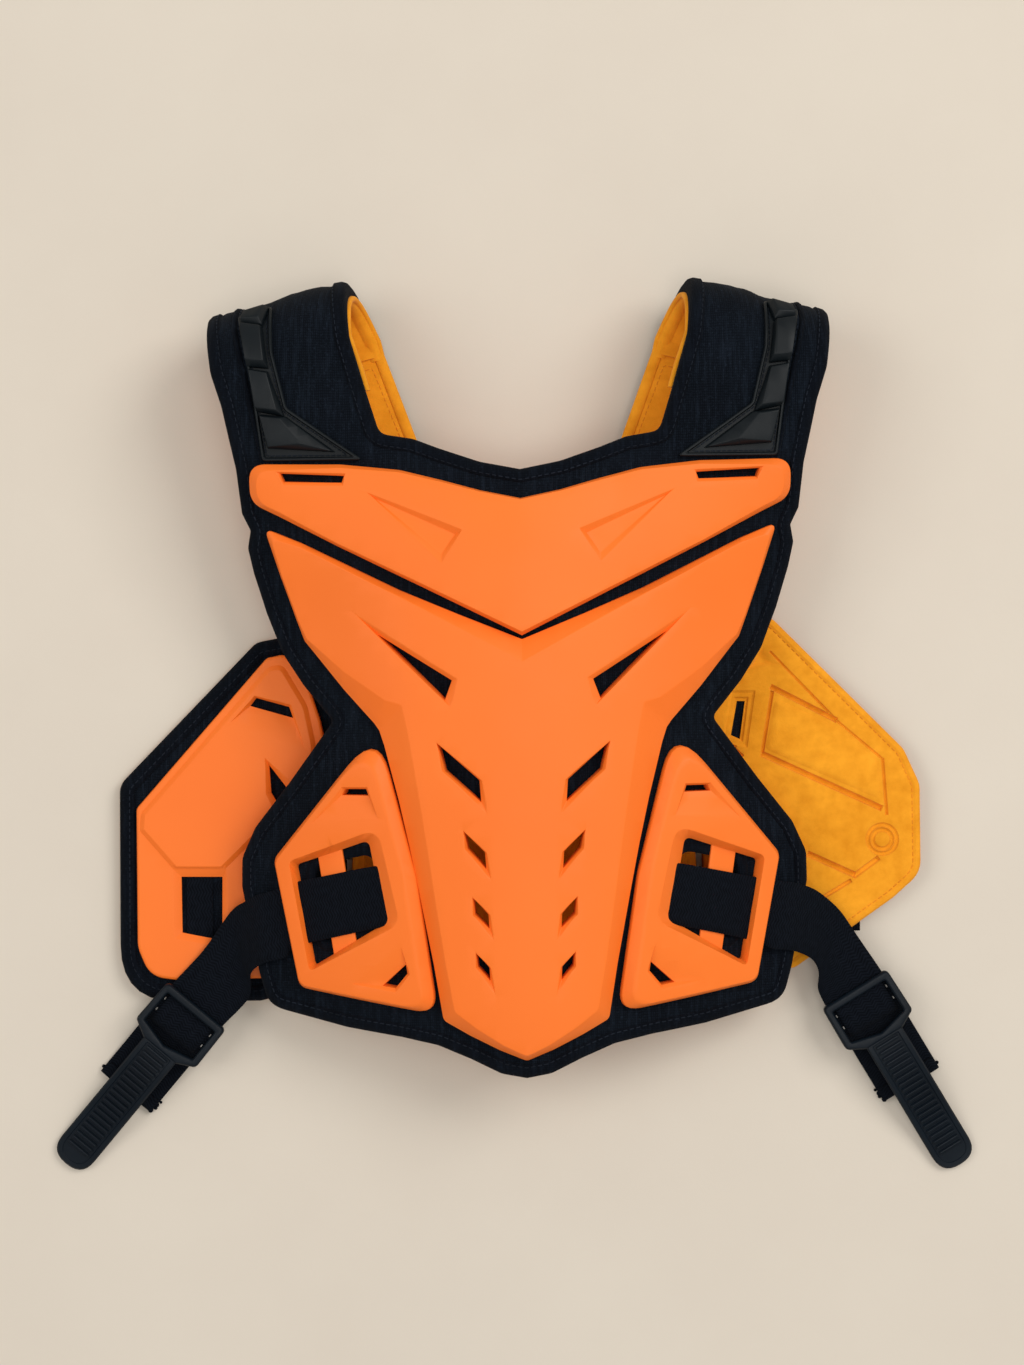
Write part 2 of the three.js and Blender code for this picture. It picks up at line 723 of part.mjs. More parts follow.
function frontPanel() {
  const pad = cutThrough(slab(FRONT_OUTLINE, -PAD_THICKNESS, 0, PAD_EDGE_ROUND), FRONT_CUTS);
  addPiece('front_pad', bent(pad, CHEST_LINES), NAVY);
  const lining = slab(FRONT_OUTLINE, LINING_TOP - LINING_THICKNESS, LINING_TOP);
  addPiece('front_lining', bent(cutThrough(lining, FRONT_CUTS), CHEST_LINES), YELLOW);
}

// Plates
function bothSides(rows) {
  return Object.values(SIDES).map((side) => forSide(side, rows.map(onBody)));
}

function upperPlate() {
  const rows = counterClockwise(wholePlate(UPPER_PLATE_HALF));
  const crest = (point) => {
    const ridge = Math.max(0, 1 - Math.abs(point.x) / RIDGE_HALF_WIDTH) * RIDGE_RISE;
    const share = (point.z - GAP) / (PLATE_EDGE + UPPER_PLATE_RISE);
    return new THREE.Vector3(point.x, point.y, point.z + ridge * share);
  };
  let plate = raisedPlate(rows, GAP, PLATE_EDGE, UPPER_PLATE_RISE);
  plate = cutThrough(plate, bothSides(UPPER_SLOT));
  const floor = GAP + PLATE_EDGE + UPPER_PLATE_RISE - TRIANGLE_DEPTH;
  plate = cutThrough(plate, bothSides(UPPER_TRIANGLE), floor);
  const lines = [...CHEST_LINES, ridgeLine(-1), ridgeLine(1)];
  const geometry = bent(plate, lines, (point) => layOnForm(crest(point)));
  addPiece('chest_plate_upper', geometry, PLASTIC);
}

function ridgeLine(side) {
  return { nx: 1, ny: 0, at: side * RIDGE_HALF_WIDTH };
}

function wholePlate(half) {
  const rows = half.map(onPlate);
  return [...rows, ...rows.slice(1, -1).reverse().map(mirrorPlate)];
}

function lowerPlate() {
  const rows = counterClockwise(wholePlate(LOWER_PLATE_HALF));
  let plate = raisedPlate(rows, GAP, PLATE_EDGE, LOWER_PLATE_RISE);
  plate = cutThrough(plate, LOWER_VENTS.flatMap(bothSides));
  addPiece('chest_plate_lower', bent(plate, CHEST_LINES), PLASTIC);
}

// The band of a rib plate where the webbing passes
const WEB_UNDER = GAP + BAR_THICKNESS + WEB_CLEARANCE;
function webBand(extra) {
  const { innerX, outerX, topY, lowY, tiltY } = RIB_WEB;
  const rows = [
    { x: innerX, y: topY + tiltY },
    { x: outerX, y: topY - tiltY },
    { x: outerX, y: lowY - tiltY },
    { x: innerX, y: lowY + tiltY },
  ].map(onBody);
  rows[0].y += extra;
  rows[1].y += extra;
  rows[2].y -= extra;
  rows[3].y -= extra;
  return rows;
}

function ribPlate(name, side) {
  const rows = RIB_PLATE.map(onPlate).map((row) => (side < 0 ? mirrorPlate(row) : row));
  let plate = raisedPlate(counterClockwise(rows), GAP, PLATE_EDGE, RIB_PLATE_RISE);
  const cuts = [RIB_WINDOW, ...RIB_SLOTS].map((cut) => forSide(side, cut.map(onBody)));
  plate = cutThrough(plate, cuts);
  const [top, foot] = BAR_ENDS.map(onBody);
  const half = BAR_WIDTH / 2;
  const bar = slab(forSide(side, [
    { x: top.x - half, y: top.y },
    { x: top.x + half, y: top.y },
    { x: foot.x + half, y: foot.y },
    { x: foot.x - half, y: foot.y },
  ]), GAP, GAP + BAR_THICKNESS);
  const passage = slab(forSide(side, webBand(WEB_CLEARANCE * 2)),
    -1, WEB_UNDER + WEB_THICKNESS + WEB_CLEARANCE);
  plate = plate.subtract(passage).add(bar);
  addPiece(`rib_plate_${name}`, bent(plate, CHEST_LINES), PLASTIC);
}

// Shoulder straps, drawn flat from the front panel's edge to the back panel's horn
const STRAP_START_Y = STRAP_JOIN_Y + GAP;
function strapPattern(side) {
  const along = (from, away, across) => ({
    x: from.x + away * BEND_AWAY.x + across * BEND_ALONG.x,
    y: from.y + away * BEND_AWAY.y + across * BEND_ALONG.y,
  });
  const end = BEND_ARC + HORN_OVERLAP;
  const outerX = STRAP_INNER_X + STRAP_WIDTH;
  return forSide(side, [
    { x: STRAP_INNER_X, y: STRAP_START_Y },
    along(BEND_START, 0, 0),
    along(BEND_START, BEND_ARC, -BEND_SHIFT),
    along(BEND_START, end, -BEND_SHIFT),
    along(BEND_START, end, STRAP_WIDTH - BEND_SHIFT),
    along(BEND_START, BEND_ARC, STRAP_WIDTH - BEND_SHIFT),
    along(BEND_START, 0, STRAP_WIDTH - STRAP_NARROWING),
    { x: outerX, y: STRAP_START_Y },
  ]);
}

function shoulderStrap(name, side) {
  const pattern = strapPattern(side);
  const lines = foldLines(side);
  const strap = slab(pattern, -PAD_THICKNESS, 0, PAD_EDGE_ROUND);
  addPiece(`shoulder_strap_${name}`, bent(strap, lines), NAVY);
  const lining = slab(pattern, LINING_TOP - LINING_THICKNESS, LINING_TOP);
  addPiece(`strap_lining_${name}`, bent(lining, lines), YELLOW);
}

function shoulderGuard(name, side) {
  const outline = forSide(side, GUARD_BASE.map(onBody));
  const base = slab(outline, GAP, GAP + GUARD_BASE_THICKNESS);
  const blockLow = GAP + GUARD_BASE_THICKNESS / 2;
  const blockTop = GAP + GUARD_BLOCK_THICKNESS;
  const guard = GUARD_BLOCKS.reduce((whole, rows) => {
    const block = slab(forSide(side, rows.map(onBody)), blockLow, blockTop, GUARD_BLOCK_CHAMFER);
    return whole.add(block);
  }, base);
  addPiece(`shoulder_guard_${name}`, bent(guard, [...CHEST_LINES, ...foldLines(side)]), RUBBER);
}

// Side guards: layer heights over the floor
const LEFT_LAYERS = {
  lining: 0,
  pad: SIDE_LINING_THICKNESS + GAP,
  shell: SIDE_LINING_THICKNESS + SIDE_PAD_THICKNESS + 2 * GAP,
};
const RIGHT_LAYERS = {
  shell: 0,
  pad: SIDE_SHELL_THICKNESS + GAP,
  lining: SIDE_SHELL_THICKNESS + SIDE_PAD_THICKNESS + 2 * GAP,
};
const WEB_POCKET = WEB_THICKNESS + 2 * WEB_CLEARANCE;
const LEFT_WEB_LOW = LEFT_LAYERS.pad + SIDE_PAD_THICKNESS - WEB_CLEARANCE - WEB_THICKNESS;
const RIGHT_WEB_LOW = RIGHT_LAYERS.pad;
const guardWebBand = (side, extra) => {
  const low = GUARD_WEB_Y - WEB_WIDTH / 2 - extra;
  const high = GUARD_WEB_Y + WEB_WIDTH / 2 + extra;
  const inner = backEdgeX() - GUARD_WEB_TUCK - extra;
  const outer = SIDE_GUARD_INNER + GUARD_WEB_REACH + extra;
  return forSide(side, [
    { x: inner, y: low },
    { x: outer, y: low },
    { x: outer, y: high },
    { x: inner, y: high },
  ]);
};

// The back panel's narrowest half width, where the guard webbing enters it
function backEdgeX() {
  return Math.min(...BACK_HALF.filter((row) => row.y < 0 && row.x > 0).map((row) => row.x)) * HALF_WIDTH;
}

function leftGuard() {
  const side = SIDES.left;
  const place = onGuard(side);
  const outline = LEFT_GUARD_PAD.map(place);
  const { lining, pad, shell } = LEFT_LAYERS;
  const liningSolid = slab(outline, lining, lining + SIDE_LINING_THICKNESS);
  addPiece('side_guard_left_lining', straight(liningSolid), YELLOW);
  const channel = slab(guardWebBand(side, WEB_CLEARANCE), LEFT_WEB_LOW - WEB_CLEARANCE, FAR_ABOVE);
  const padSolid = slab(outline, pad, pad + SIDE_PAD_THICKNESS, SIDE_PAD_CHAMFER).subtract(channel);
  addPiece('side_guard_left_pad', straight(padSolid), NAVY);
  const shellTop = shell + SIDE_SHELL_THICKNESS;
  const ridge = slab(LEFT_GUARD_RIDGE.map(place), shell + SHELL_RIDGE_CHAMFER, shellTop + SHELL_RISE,
    SHELL_RIDGE_CHAMFER);
  const cuts = [LEFT_GUARD_WINDOW, ...LEFT_GUARD_SLOTS].map((rows) => rows.map(place));
  const shellSolid = slab(LEFT_GUARD_SHELL.map(place), shell, shellTop, SHELL_CHAMFER).add(ridge);
  addPiece('side_guard_left_shell', straight(cutThrough(shellSolid, cuts)), PLASTIC);
}

function rightGuard() {
  const side = SIDES.right;
  const place = onGuard(side);
  const outline = RIGHT_GUARD_OUTLINE.map(place);
  const slot = [RIGHT_GUARD_SLOT.map(place)];
  const { lining, pad, shell } = RIGHT_LAYERS;
  const shellSolid = slab(outline, shell, shell + SIDE_SHELL_THICKNESS, SHELL_CHAMFER);
  addPiece('side_guard_right_shell', straight(shellSolid), PLASTIC);
  const channelTop = RIGHT_WEB_LOW + WEB_THICKNESS + WEB_CLEARANCE;
  const channel = slab(guardWebBand(side, WEB_CLEARANCE), FAR_BELOW, channelTop);
  const padSolid = slab(outline, pad, pad + SIDE_PAD_THICKNESS).subtract(channel);
  addPiece('side_guard_right_pad', straight(cutThrough(padSolid, slot)), NAVY);
  const liningSolid = slab(outline, lining, lining + LINING_THICKNESS, SIDE_LINING_CHAMFER);
  addPiece('side_guard_right_lining', straight(cutThrough(liningSolid, slot)), YELLOW);
}

function guardWebbing(name, side, low) {
  const strip = slab(guardWebBand(side, 0), low, low + WEB_THICKNESS);
  addPiece(`guard_webbing_${name}`, straight(strip), WEBBING);
}

// Back panel
function backOutline() {
  const half = BACK_HALF.map(onBody);
  const away = -(HORN_OVERLAP + GAP);
  const corner = (across) => ({
    x: BEND_START.x + away * BEND_AWAY.x + (across - BEND_SHIFT) * BEND_ALONG.x,
    y: BEND_START.y + away * BEND_AWAY.y + (across - BEND_SHIFT) * BEND_ALONG.y,
  });
  half.splice(HORN_CORNERS, 0, corner(0), corner(STRAP_WIDTH));
  return wholeFromHalf(half);
}

function backPanel() {
  const outline = backOutline();
  const top = BACK_PAD_LOW + PAD_THICKNESS;
  const plateRows = outline.map((row) => ({
    ...row,
    x: row.x * (1 - BACK_PLATE_INSET / HALF_WIDTH),
    y: row.y * (1 - 2 * BACK_PLATE_INSET / BODY_LENGTH),
  }));
  addPiece('back_plate', straight(slab(plateRows, 0, BACK_PLATE_THICKNESS, SHELL_CHAMFER)), PLASTIC);
  const pockets = [
    slab(guardWebBand(SIDES.left, WEB_CLEARANCE), LEFT_WEB_LOW - WEB_CLEARANCE,
      LEFT_WEB_LOW - WEB_CLEARANCE + WEB_POCKET),
    slab(guardWebBand(SIDES.right, WEB_CLEARANCE), 0, RIGHT_WEB_LOW + WEB_THICKNESS + WEB_CLEARANCE),
  ];
  const pad = pockets.reduce((rest, pocket) => rest.subtract(pocket),
    slab(outline, BACK_PAD_LOW, top, PAD_EDGE_ROUND));
  addPiece('back_pad', straight(pad), NAVY);
  const lining = slab(outline, top + GAP, top + GAP + LINING_THICKNESS);
  addPiece('back_lining', straight(lining), YELLOW);
}

// Side straps. A ribbon is a row of sections, each a pair of edge points.
function ribbon(sections, thickness) {
  const points = [];
  sections.forEach(({ upper, lower }, index) => {
    const before = sections[Math.max(0, index - 1)];
    const after = sections[Math.min(sections.length - 1, index + 1)];
    const forward = after.upper.clone().add(after.lower).sub(before.upper).sub(before.lower);
    const across = lower.clone().sub(upper);
    const normal = across.cross(forward).normalize();
    if (normal.z < 0) normal.negate();
    const lift = normal.multiplyScalar(thickness);
    points.push(upper.clone(), lower.clone(), lower.clone().add(lift), upper.clone().add(lift));
  });
  const triangles = [];
  const quad = (a, b, c, d) => triangles.push([a, b, c], [a, c, d]);
  for (let index = 0; index + 1 < sections.length; index += 1) {
    const from = index * 4;
    const to = from + 4;
    for (let edge = 0; edge < 4; edge += 1) {
      const next = (edge + 1) % 4;
      quad(from + edge, from + next, to + next, to + edge);
    }
  }
  const last = (sections.length - 1) * 4;
  quad(3, 2, 1, 0);
  quad(last, last + 1, last + 2, last + 3);
  return { points, triangles };
}

// Volume tells whether a closed mesh faces out
function facingOut(mesh) {
  const volume = mesh.triangles.reduce((sum, [a, b, c]) => (
    sum + mesh.points[a].dot(mesh.points[b].clone().cross(mesh.points[c]))
  ), 0);
  if (volume > 0) return mesh;
  return { ...mesh, triangles: mesh.triangles.map(([a, b, c]) => [a, c, b]) };
}

// A point of the hook's own plan: along its axis towards the tab's end, and across it
function onHook(hook, along, across, z) {
  const cos = Math.cos(hook.angle);
  const sin = Math.sin(hook.angle);
  return new THREE.Vector3(hook.x + along * cos - across * sin, hook.y + along * sin + across * cos, z);
}

const RING_LOW = RING_LIFT + WEB_THICKNESS + WEB_CLEARANCE;
const ON_PAD = table(['x', 'high', 'low', 'lift'], [
  [0.40, -0.2215, -0.2965, WEB_UNDER],
  [0.52, -0.2275, -0.3065, WEB_UNDER],
  [0.66, -0.2385, -0.3185, WEB_UNDER],
  [0.79, -0.2465, -0.3305, WEB_UNDER],
  [0.88, -0.2590, -0.3420, 2],
  [0.96, -0.2710, -0.3550, EDGE_LIFT],
]);
const TAIL = table(['along', 'z'], [
  [-2, RING_LIFT],
  [RING_LENGTH, RING_LIFT],
  [RING_LENGTH + 18, 5],
  [TAIL_LENGTH, 0.4],
]);

function sideStrap(name, side, hook) {
  const sections = ON_PAD.map(({ x, high, low, lift }) => {
    const at = (y) => layOnForm({ x: side * x * HALF_WIDTH, y: y * BODY_LENGTH, z: lift });
    return { upper: at(high), lower: at(low) };
  });
  const tail = TAIL.map(({ along, z }) => {
    const half = side * WEB_WIDTH / 2;
    return { upper: onHook(hook, along, half, z), lower: onHook(hook, along, -half, z) };
  });
  const edge = sections.at(-1);
  const ring = tail[0];
  const bridge = [];
  for (let step = 1; step < EDGE_STEPS; step += 1) {
    const share = step / EDGE_STEPS;
    const bend = (key) => {
      const start = edge[key];
      const end = ring[key];
      const reach = BRIDGE_REACH[key] * start.distanceTo(end);
      const middle = end.clone().add(new THREE.Vector3(
        -reach * Math.cos(hook.angle), -reach * Math.sin(hook.angle), 0));
      const curve = new THREE.QuadraticBezierCurve3(start, middle, end);
      const point = curve.getPoint(share);
      point.z = THREE.MathUtils.lerp(start.z, end.z, smooth(share));
      return point;
    };
    bridge.push({ upper: bend('upper'), lower: bend('lower') });
  }
  const mesh = facingOut(ribbon([...sections, ...bridge, ...tail], WEB_THICKNESS));
  addPiece(`side_strap_${name}`, geometryOf(mesh), WEBBING);
}

// Hook, flat in its own plan and then placed, its tab sloping down to the floor
function strapHook(name, side, hook) {
  const wide = RING_HALF_WIDTH;
  const low = RING_LOW;
  const high = low + RING_THICKNESS;
  const tip = RING_LENGTH + RING_POINT;
  const shoulder = RING_LENGTH - RING_TAPER;
  const outer = [
    { x: 0, y: RING_ROUND - wide, round: RING_ROUND },
    { x: shoulder, y: -wide, round: RING_ROUND },
    { x: tip, y: -TAB_HALF_WIDTH },
    { x: tip, y: TAB_HALF_WIDTH },
    { x: shoulder, y: wide, round: RING_ROUND },
    { x: 0, y: wide - RING_ROUND, round: RING_ROUND },
  ];
  const rail = wide - RING_RAIL;
  const openingEnd = tip - RING_POINT - 2 * RING_BAR;
  const opening = [
    { x: RING_BAR, y: -rail },
    { x: openingEnd, y: -rail },
    { x: openingEnd + RING_POINT, y: 0 },
    { x: openingEnd, y: rail },
    { x: RING_BAR, y: rail },
  ];
  const crossBar = (halfLength) => {
    const from = RING_LENGTH * CROSS_BAR_SHARE - CROSS_BAR_WIDTH / 2;
    return [
      { x: from, y: -halfLength },
      { x: from + CROSS_BAR_WIDTH, y: -halfLength },
      { x: from + CROSS_BAR_WIDTH, y: halfLength },
      { x: from, y: halfLength },
    ];
  };
  const barTop = RING_LIFT - WEB_CLEARANCE;
  const cross = slab(crossBar(wide - CROSS_BAR_INSET), barTop - CROSS_BAR_THICKNESS, low + RING_CHAMFER)
    .subtract(slab(crossBar(rail), barTop, high));
  const tabOutline = [
    { x: RING_LENGTH - TAB_ROOT, y: -TAB_HALF_WIDTH },
    { x: TAB_LENGTH, y: -TAB_HALF_WIDTH, round: TAB_HALF_WIDTH },
    { x: TAB_LENGTH, y: TAB_HALF_WIDTH, round: TAB_HALF_WIDTH },
    { x: RING_LENGTH - TAB_ROOT, y: TAB_HALF_WIDTH },
  ];
  const tabTop = low + TAB_THICKNESS;
  let solid = slab(outer, low, high, RING_CHAMFER).subtract(slab(opening, 0, FAR_ABOVE)).add(cross);
  solid = solid.add(slab(tabOutline, low, tabTop, TAB_CHAMFER));
  for (let rib = 0; rib < RIB_COUNT; rib += 1) {
    const from = THREE.MathUtils.lerp(RIB_FROM, RIB_TO, rib / (RIB_COUNT - 1));
    const ribWide = (RIB_TO - RIB_FROM) / RIB_COUNT / 2;
    solid = solid.add(slab([
      { x: from, y: -RIB_LENGTH / 2 },
      { x: from + ribWide, y: -RIB_LENGTH / 2 },
      { x: from + ribWide, y: RIB_LENGTH / 2 },
      { x: from, y: RIB_LENGTH / 2 },
    ], tabTop - TAB_THICKNESS / 2, tabTop + RIB_HEIGHT));
  }
  const bends = [0, 0.5].map((share) => (
    { nx: 1, ny: 0, at: THREE.MathUtils.lerp(tip, TAB_LENGTH, share) }
  ));
  const mesh = bends.reduce(splitAlong, flatMesh(solid));
  const points = mesh.points.map(({ x, y, z }) => {
    const down = smooth((x - tip) / (TAB_LENGTH - tip));
    return onHook(hook, x, y, z - down * (RING_LOW - TAB_FOOT));
  });
  addPiece(`strap_hook_${name}`, geometryOf({ ...mesh, points }), NYLON);
}

frontPanel();
upperPlate();
lowerPlate();
backPanel();
leftGuard();
rightGuard();
guardWebbing('left', SIDES.left, LEFT_WEB_LOW);
guardWebbing('right', SIDES.right, RIGHT_WEB_LOW);
for (const [name, side] of Object.entries(SIDES)) {
  ribPlate(name, side);
  shoulderStrap(name, side);
  shoulderGuard(name, side);
  sideStrap(name, side, HOOKS[name]);
  strapHook(name, side, HOOKS[name]);
}

// The origin is under the middle of the whole thing
const box = new THREE.Box3().setFromObject(object);
const middle = box.getCenter(new THREE.Vector3());
object.position.set(-middle.x, -middle.y, -box.min.z);
object.updateMatrixWorld(true);

export default object;
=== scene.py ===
import bisect
import math

import bpy
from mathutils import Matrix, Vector, noise
from mathutils.geometry import interpolate_bezier

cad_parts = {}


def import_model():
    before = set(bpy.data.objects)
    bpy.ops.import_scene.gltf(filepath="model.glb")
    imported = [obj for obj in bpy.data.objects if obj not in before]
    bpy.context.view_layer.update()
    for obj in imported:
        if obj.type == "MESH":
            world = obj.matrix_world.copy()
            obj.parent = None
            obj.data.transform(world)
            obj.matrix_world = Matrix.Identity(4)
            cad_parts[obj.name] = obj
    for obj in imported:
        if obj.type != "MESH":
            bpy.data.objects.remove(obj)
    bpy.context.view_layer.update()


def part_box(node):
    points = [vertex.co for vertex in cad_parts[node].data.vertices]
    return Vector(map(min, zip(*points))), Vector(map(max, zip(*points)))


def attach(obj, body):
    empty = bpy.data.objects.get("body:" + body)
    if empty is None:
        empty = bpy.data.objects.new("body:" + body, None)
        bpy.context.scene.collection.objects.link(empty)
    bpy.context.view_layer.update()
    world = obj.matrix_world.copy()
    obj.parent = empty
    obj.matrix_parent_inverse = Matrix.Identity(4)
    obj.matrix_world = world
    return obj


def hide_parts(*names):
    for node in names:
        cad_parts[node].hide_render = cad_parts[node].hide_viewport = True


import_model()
MM = 0.001

# Form of the chest, in millimetres
CREST_HEIGHT = 80
HEM_DROP = 20
SHOULDER_DROP = 10
CHEST_RADIUS = 260
ROUND_HALF_WIDTH = 100
CREST_Y = 60.2
FLATTEN_FROM_Y = 20.1
STRAP_JOIN_Y = 164.8
HEM_Y = -215.8
SIDE_SLOPE = ROUND_HALF_WIDTH / math.sqrt(CHEST_RADIUS ** 2 - ROUND_HALF_WIDTH ** 2)

# The bend over the shoulders
BEND_RADIUS = 33.2
BEND_HEIGHT = 36.8
BEND_ARC = math.pi * BEND_RADIUS
BEND_TILT = math.radians(14.5)
BEND_AWAY = Vector((math.sin(BEND_TILT), math.cos(BEND_TILT)))
BEND_ALONG = Vector((math.cos(BEND_TILT), -math.sin(BEND_TILT)))
BEND_START = Vector((92.96, 188.8))
BEND_SHIFT = 14
STRAP_WIDTH = 79
STRAP_END = 7
HORN_GAP = 6.4

# Layers over the pad's face
PAD_THICKNESS = 8
LINING_TOP = -8.4
LINING_THICKNESS = 3
PLATE_LOW = 0.4
PLATE_EDGE = 3
LOWER_RISE = 6
UPPER_RISE = 3.5
RIDGE_RISE = 3.5
RIDGE_HALF_WIDTH = 52
RIB_RISE = 5.2
WEB_THICKNESS = 1.6
WEB_WIDTH = 37

# Steps of the meshes
CORNER_STEPS = 7
EDGE_STEP = 7
GRID = 8
FABRIC_GRID = 4
BEND_STEP = 4
SWEEP_STEP = 4

FRONT_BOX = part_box("front_pad")
ORIGIN = Vector((
    (FRONT_BOX[0].x + FRONT_BOX[1].x) / 2 / MM,
    FRONT_BOX[1].y / MM - STRAP_JOIN_Y,
    0,
))
SIDES = {"left": -1, "right": 1}


def table(columns, rows):
    """A short table: one row for each corner or fold, with named columns."""
    names = columns.split()
    return [dict(zip(names, row)) for row in rows]


# Outlines of the right half, from the middle of the top edge to the middle of the bottom edge
NECK = table("x y round", [
    (0, 115, 0), (22, 119.3, 30), (44, 126.8, 30), (58, 132.2, 8), (77, 135.3, 9),
])
FLANK = table("x y round", [
    (161, 152, 30), (154.2, 118, 30), (152, 94, 4), (147.6, 84.6, 3), (149.6, 75, 6),
    (147, 62, 20), (140.5, 40, 20), (132, 18, 16), (120.5, 0.5, 12), (103.6, -20, 5),
    (129.5, -54.6, 20), (149.5, -79.5, 12), (157.2, -96, 12), (157.6, -112, 14),
    (148.6, -160, 8), (143.6, -178.5, 14), (100, -188.6, 30), (69, -193.2, 30),
    (48.5, -197.5, 20), (30, -205.2, 20), (13.5, -213.3, 14), (0, -215.8, 0),
])
PAD_WINDOW = table("x y round", [
    (119, -99.8, 7), (86, -92, 7), (78, -125, 7), (114, -145, 7),
])
VENT_RELIEF = table("x y round", [
    (34.5, -73, 3), (18.4, -86, 3), (16, -137, 2), (28.6, -131, 3),
])

# Plates. The crease columns give the corner of the raised face that pairs with each edge corner.
UPPER_PLATE = table("x y crease_x crease_y round", [
    (0, 98.6, 0, 96.8, 0), (21.5, 103.3, 21.5, 101.6, 20), (43, 109.6, 43, 107.8, 30),
    (64.7, 115.4, 64.7, 113.6, 30), (97, 119.3, 97, 117.2, 20), (147, 120.8, 142.5, 117.6, 8.5),
    (146.6, 100.5, 142, 101.5, 12), (130.6, 92.5, 129.6, 95.3, 8), (98, 75.2, 98, 77.4, 40),
    (0, 25.4, 0, 27.4, 0),
])
LOWER_PLATE = table("x y crease_x crease_y round", [
    (0, 23.4, 0, 11.6, 0), (33, 36.9, 33, 30.2, 0), (65.4, 50.8, 65.4, 48.4, 0),
    (98, 67.1, 98, 65.4, 0), (119.5, 77.8, 119, 75.9, 0), (139.6, 86.2, 135.2, 81.2, 2.5),
    (131.3, 60.4, 129.2, 60.6, 0), (122.7, 35.7, 120.6, 36.2, 0), (118.4, 24.2, 115.8, 25.4, 5),
    (96.4, -2.8, 95, 7.4, 0), (79.8, -21.2, 72, -8.4, 4), (77.2, -25, 63, -11, 2),
    (74.6, -33, 60, -26, 4), (67.1, -62.8, 54, -64, 0), (61.6, -88, 50.6, -88, 0),
    (57, -111.7, 47.7, -110, 0), (49.4, -152.7, 42, -150, 0), (44.6, -183.2, 37.4, -177, 5),
    (30.6, -191.3, 25.5, -186.5, 6), (14.6, -199.5, 12, -195.4, 6), (0, -205.6, 0, -201.4, 4),
])
RIB_PLATE = table("x y round skirt", [
    (81.2, -24.6, 12.5, 6.5), (60.8, -104, 60, 7.5), (49.4, -180, 9, 3.8),
    (126.6, -166.8, 7, 3.6), (140, -95.6, 8, 3.8),
])
RIB_OPENING = table("x y round", [
    (127.8, -98.8, 2.5), (104, -90.8, 8), (86.8, -84.8, 3.5), (79, -130.4, 5), (118.6, -154.8, 1.6),
])
RIB_RIM = table("x y round", [
    (129.2, -96.2, 4), (104, -87, 8), (80, -77.8, 8), (69, -129.4, 9), (118.6, -156.8, 2.4),
])
# How much nearer to the middle the left rib plate lies, and its foot
RIB_SHIFT = 2.8
RIB_FOOT_SHIFT = 1.6
RIB_FOOT_Y = -180
RIB_FOOT_RUN = 12
BAR = table("x y", [(117.8, -79), (103.8, -77), (93, -155), (106.6, -155)])

# Openings through the lower plate: the hole and the rim of the slope round it
VENTS = [
    (table("x y", [(76, 27), (37, 1.8), (40.8, -8.6)]),
     table("x y", [(87.6, 38.6), (33.6, 2.6), (37.6, -12.4)])),
    (table("x y", [(44.5, -32.4), (23.2, -51.8), (22.4, -63.6), (41.2, -46.6)]),
     table("x y", [(45.2, -31.4), (21.6, -52), (19.2, -70), (42.6, -46.6)])),
    (table("x y", [(31.2, -79.8), (20.8, -90.6), (20.2, -99.6), (29.8, -88.8)]),
     table("x y", [(31.8, -78.8), (19.6, -90.8), (17.6, -105.6), (31, -89)])),
    (table("x y", [(26.9, -115.4), (19.4, -124.2), (19, -131.8), (26.4, -124.4)]),
     table("x y", [(27.5, -114.6), (18.2, -124.4), (16.6, -138.2), (27.4, -124.6)])),
    (table("x y", [(25.7, -145.4), (19.2, -153), (18.8, -160.2), (25.2, -152.8)]),
     table("x y", [(26.2, -144.6), (18.2, -153.2), (16.2, -167.8), (26.2, -153)])),
]
UPPER_SLOT = (
    table("x y", [(94.6, 113), (129.4, 115.6), (127.6, 111), (95.8, 109.4)]),
    table("x y", [(93.4, 114.2), (131.6, 116.8), (127.6, 109.6), (94.6, 107.6)]),
)
# Shallow pocket: the corners of its mouth and of its floor
UPPER_POCKET = table("x y floor_x floor_y depth", [
    (82.5, 103.9, 77.8, 100.2, 1.6), (30.7, 81.9, 35, 79.9, 2.8), (41.8, 64.4, 42.2, 69.4, 1.5),
])
RIB_SLOTS = [
    (table("x y", [(97.8, -56.4), (86.2, -56.4), (85, -60), (99.4, -59.8)]),
     table("x y", [(98.9, -55.2), (84.9, -55.2), (79.4, -72.6), (115.6, -75)])),
    (table("x y", [(66.4, -151.8), (65.6, -156.8), (72.2, -165), (79.2, -163.8)]),
     table("x y", [(68.4, -141.6), (64, -157), (71.6, -166.8), (95.4, -162.6)])),
]

# Rubber guard on the strap
GUARD_BASE = table("x y round", [
    (134.6, 209.6, 3), (133.2, 180, 14), (126, 150.4, 5), (84.4, 121.4, 1.4), (139.8, 122.2, 3),
    (145.4, 163, 30), (153.4, 203.6, 3),
])
# Each block's foot, paired with the corners of its top face
GUARD_BLOCKS = [
    table("x y top_x top_y", rows) for rows in (
        [(150.1, 204.3, 149.4, 203.1), (136.1, 207.7, 138.6, 206.6), (138.9, 194.8, 141, 198.1),
         (151, 196.7, 150.5, 197.8)],
        [(151.3, 195.9, 150.8, 195.1), (138.9, 194.4, 139.7, 193.2), (135.5, 171.4, 138.1, 175.7),
         (146.9, 172.4, 147.9, 176.3)],
        [(146.6, 171.6, 146.2, 170.8), (135.7, 170.1, 136.4, 168.9), (126.8, 145.3, 131.4, 149.2),
         (142, 148.5, 142.9, 150.7)],
        [(140.8, 147.3, 140.3, 146.2), (126.2, 145.7, 129.5, 144.7), (99, 125.9, 118.1, 131.1),
         (136.6, 128.8, 135.9, 129.9)],
    )
]

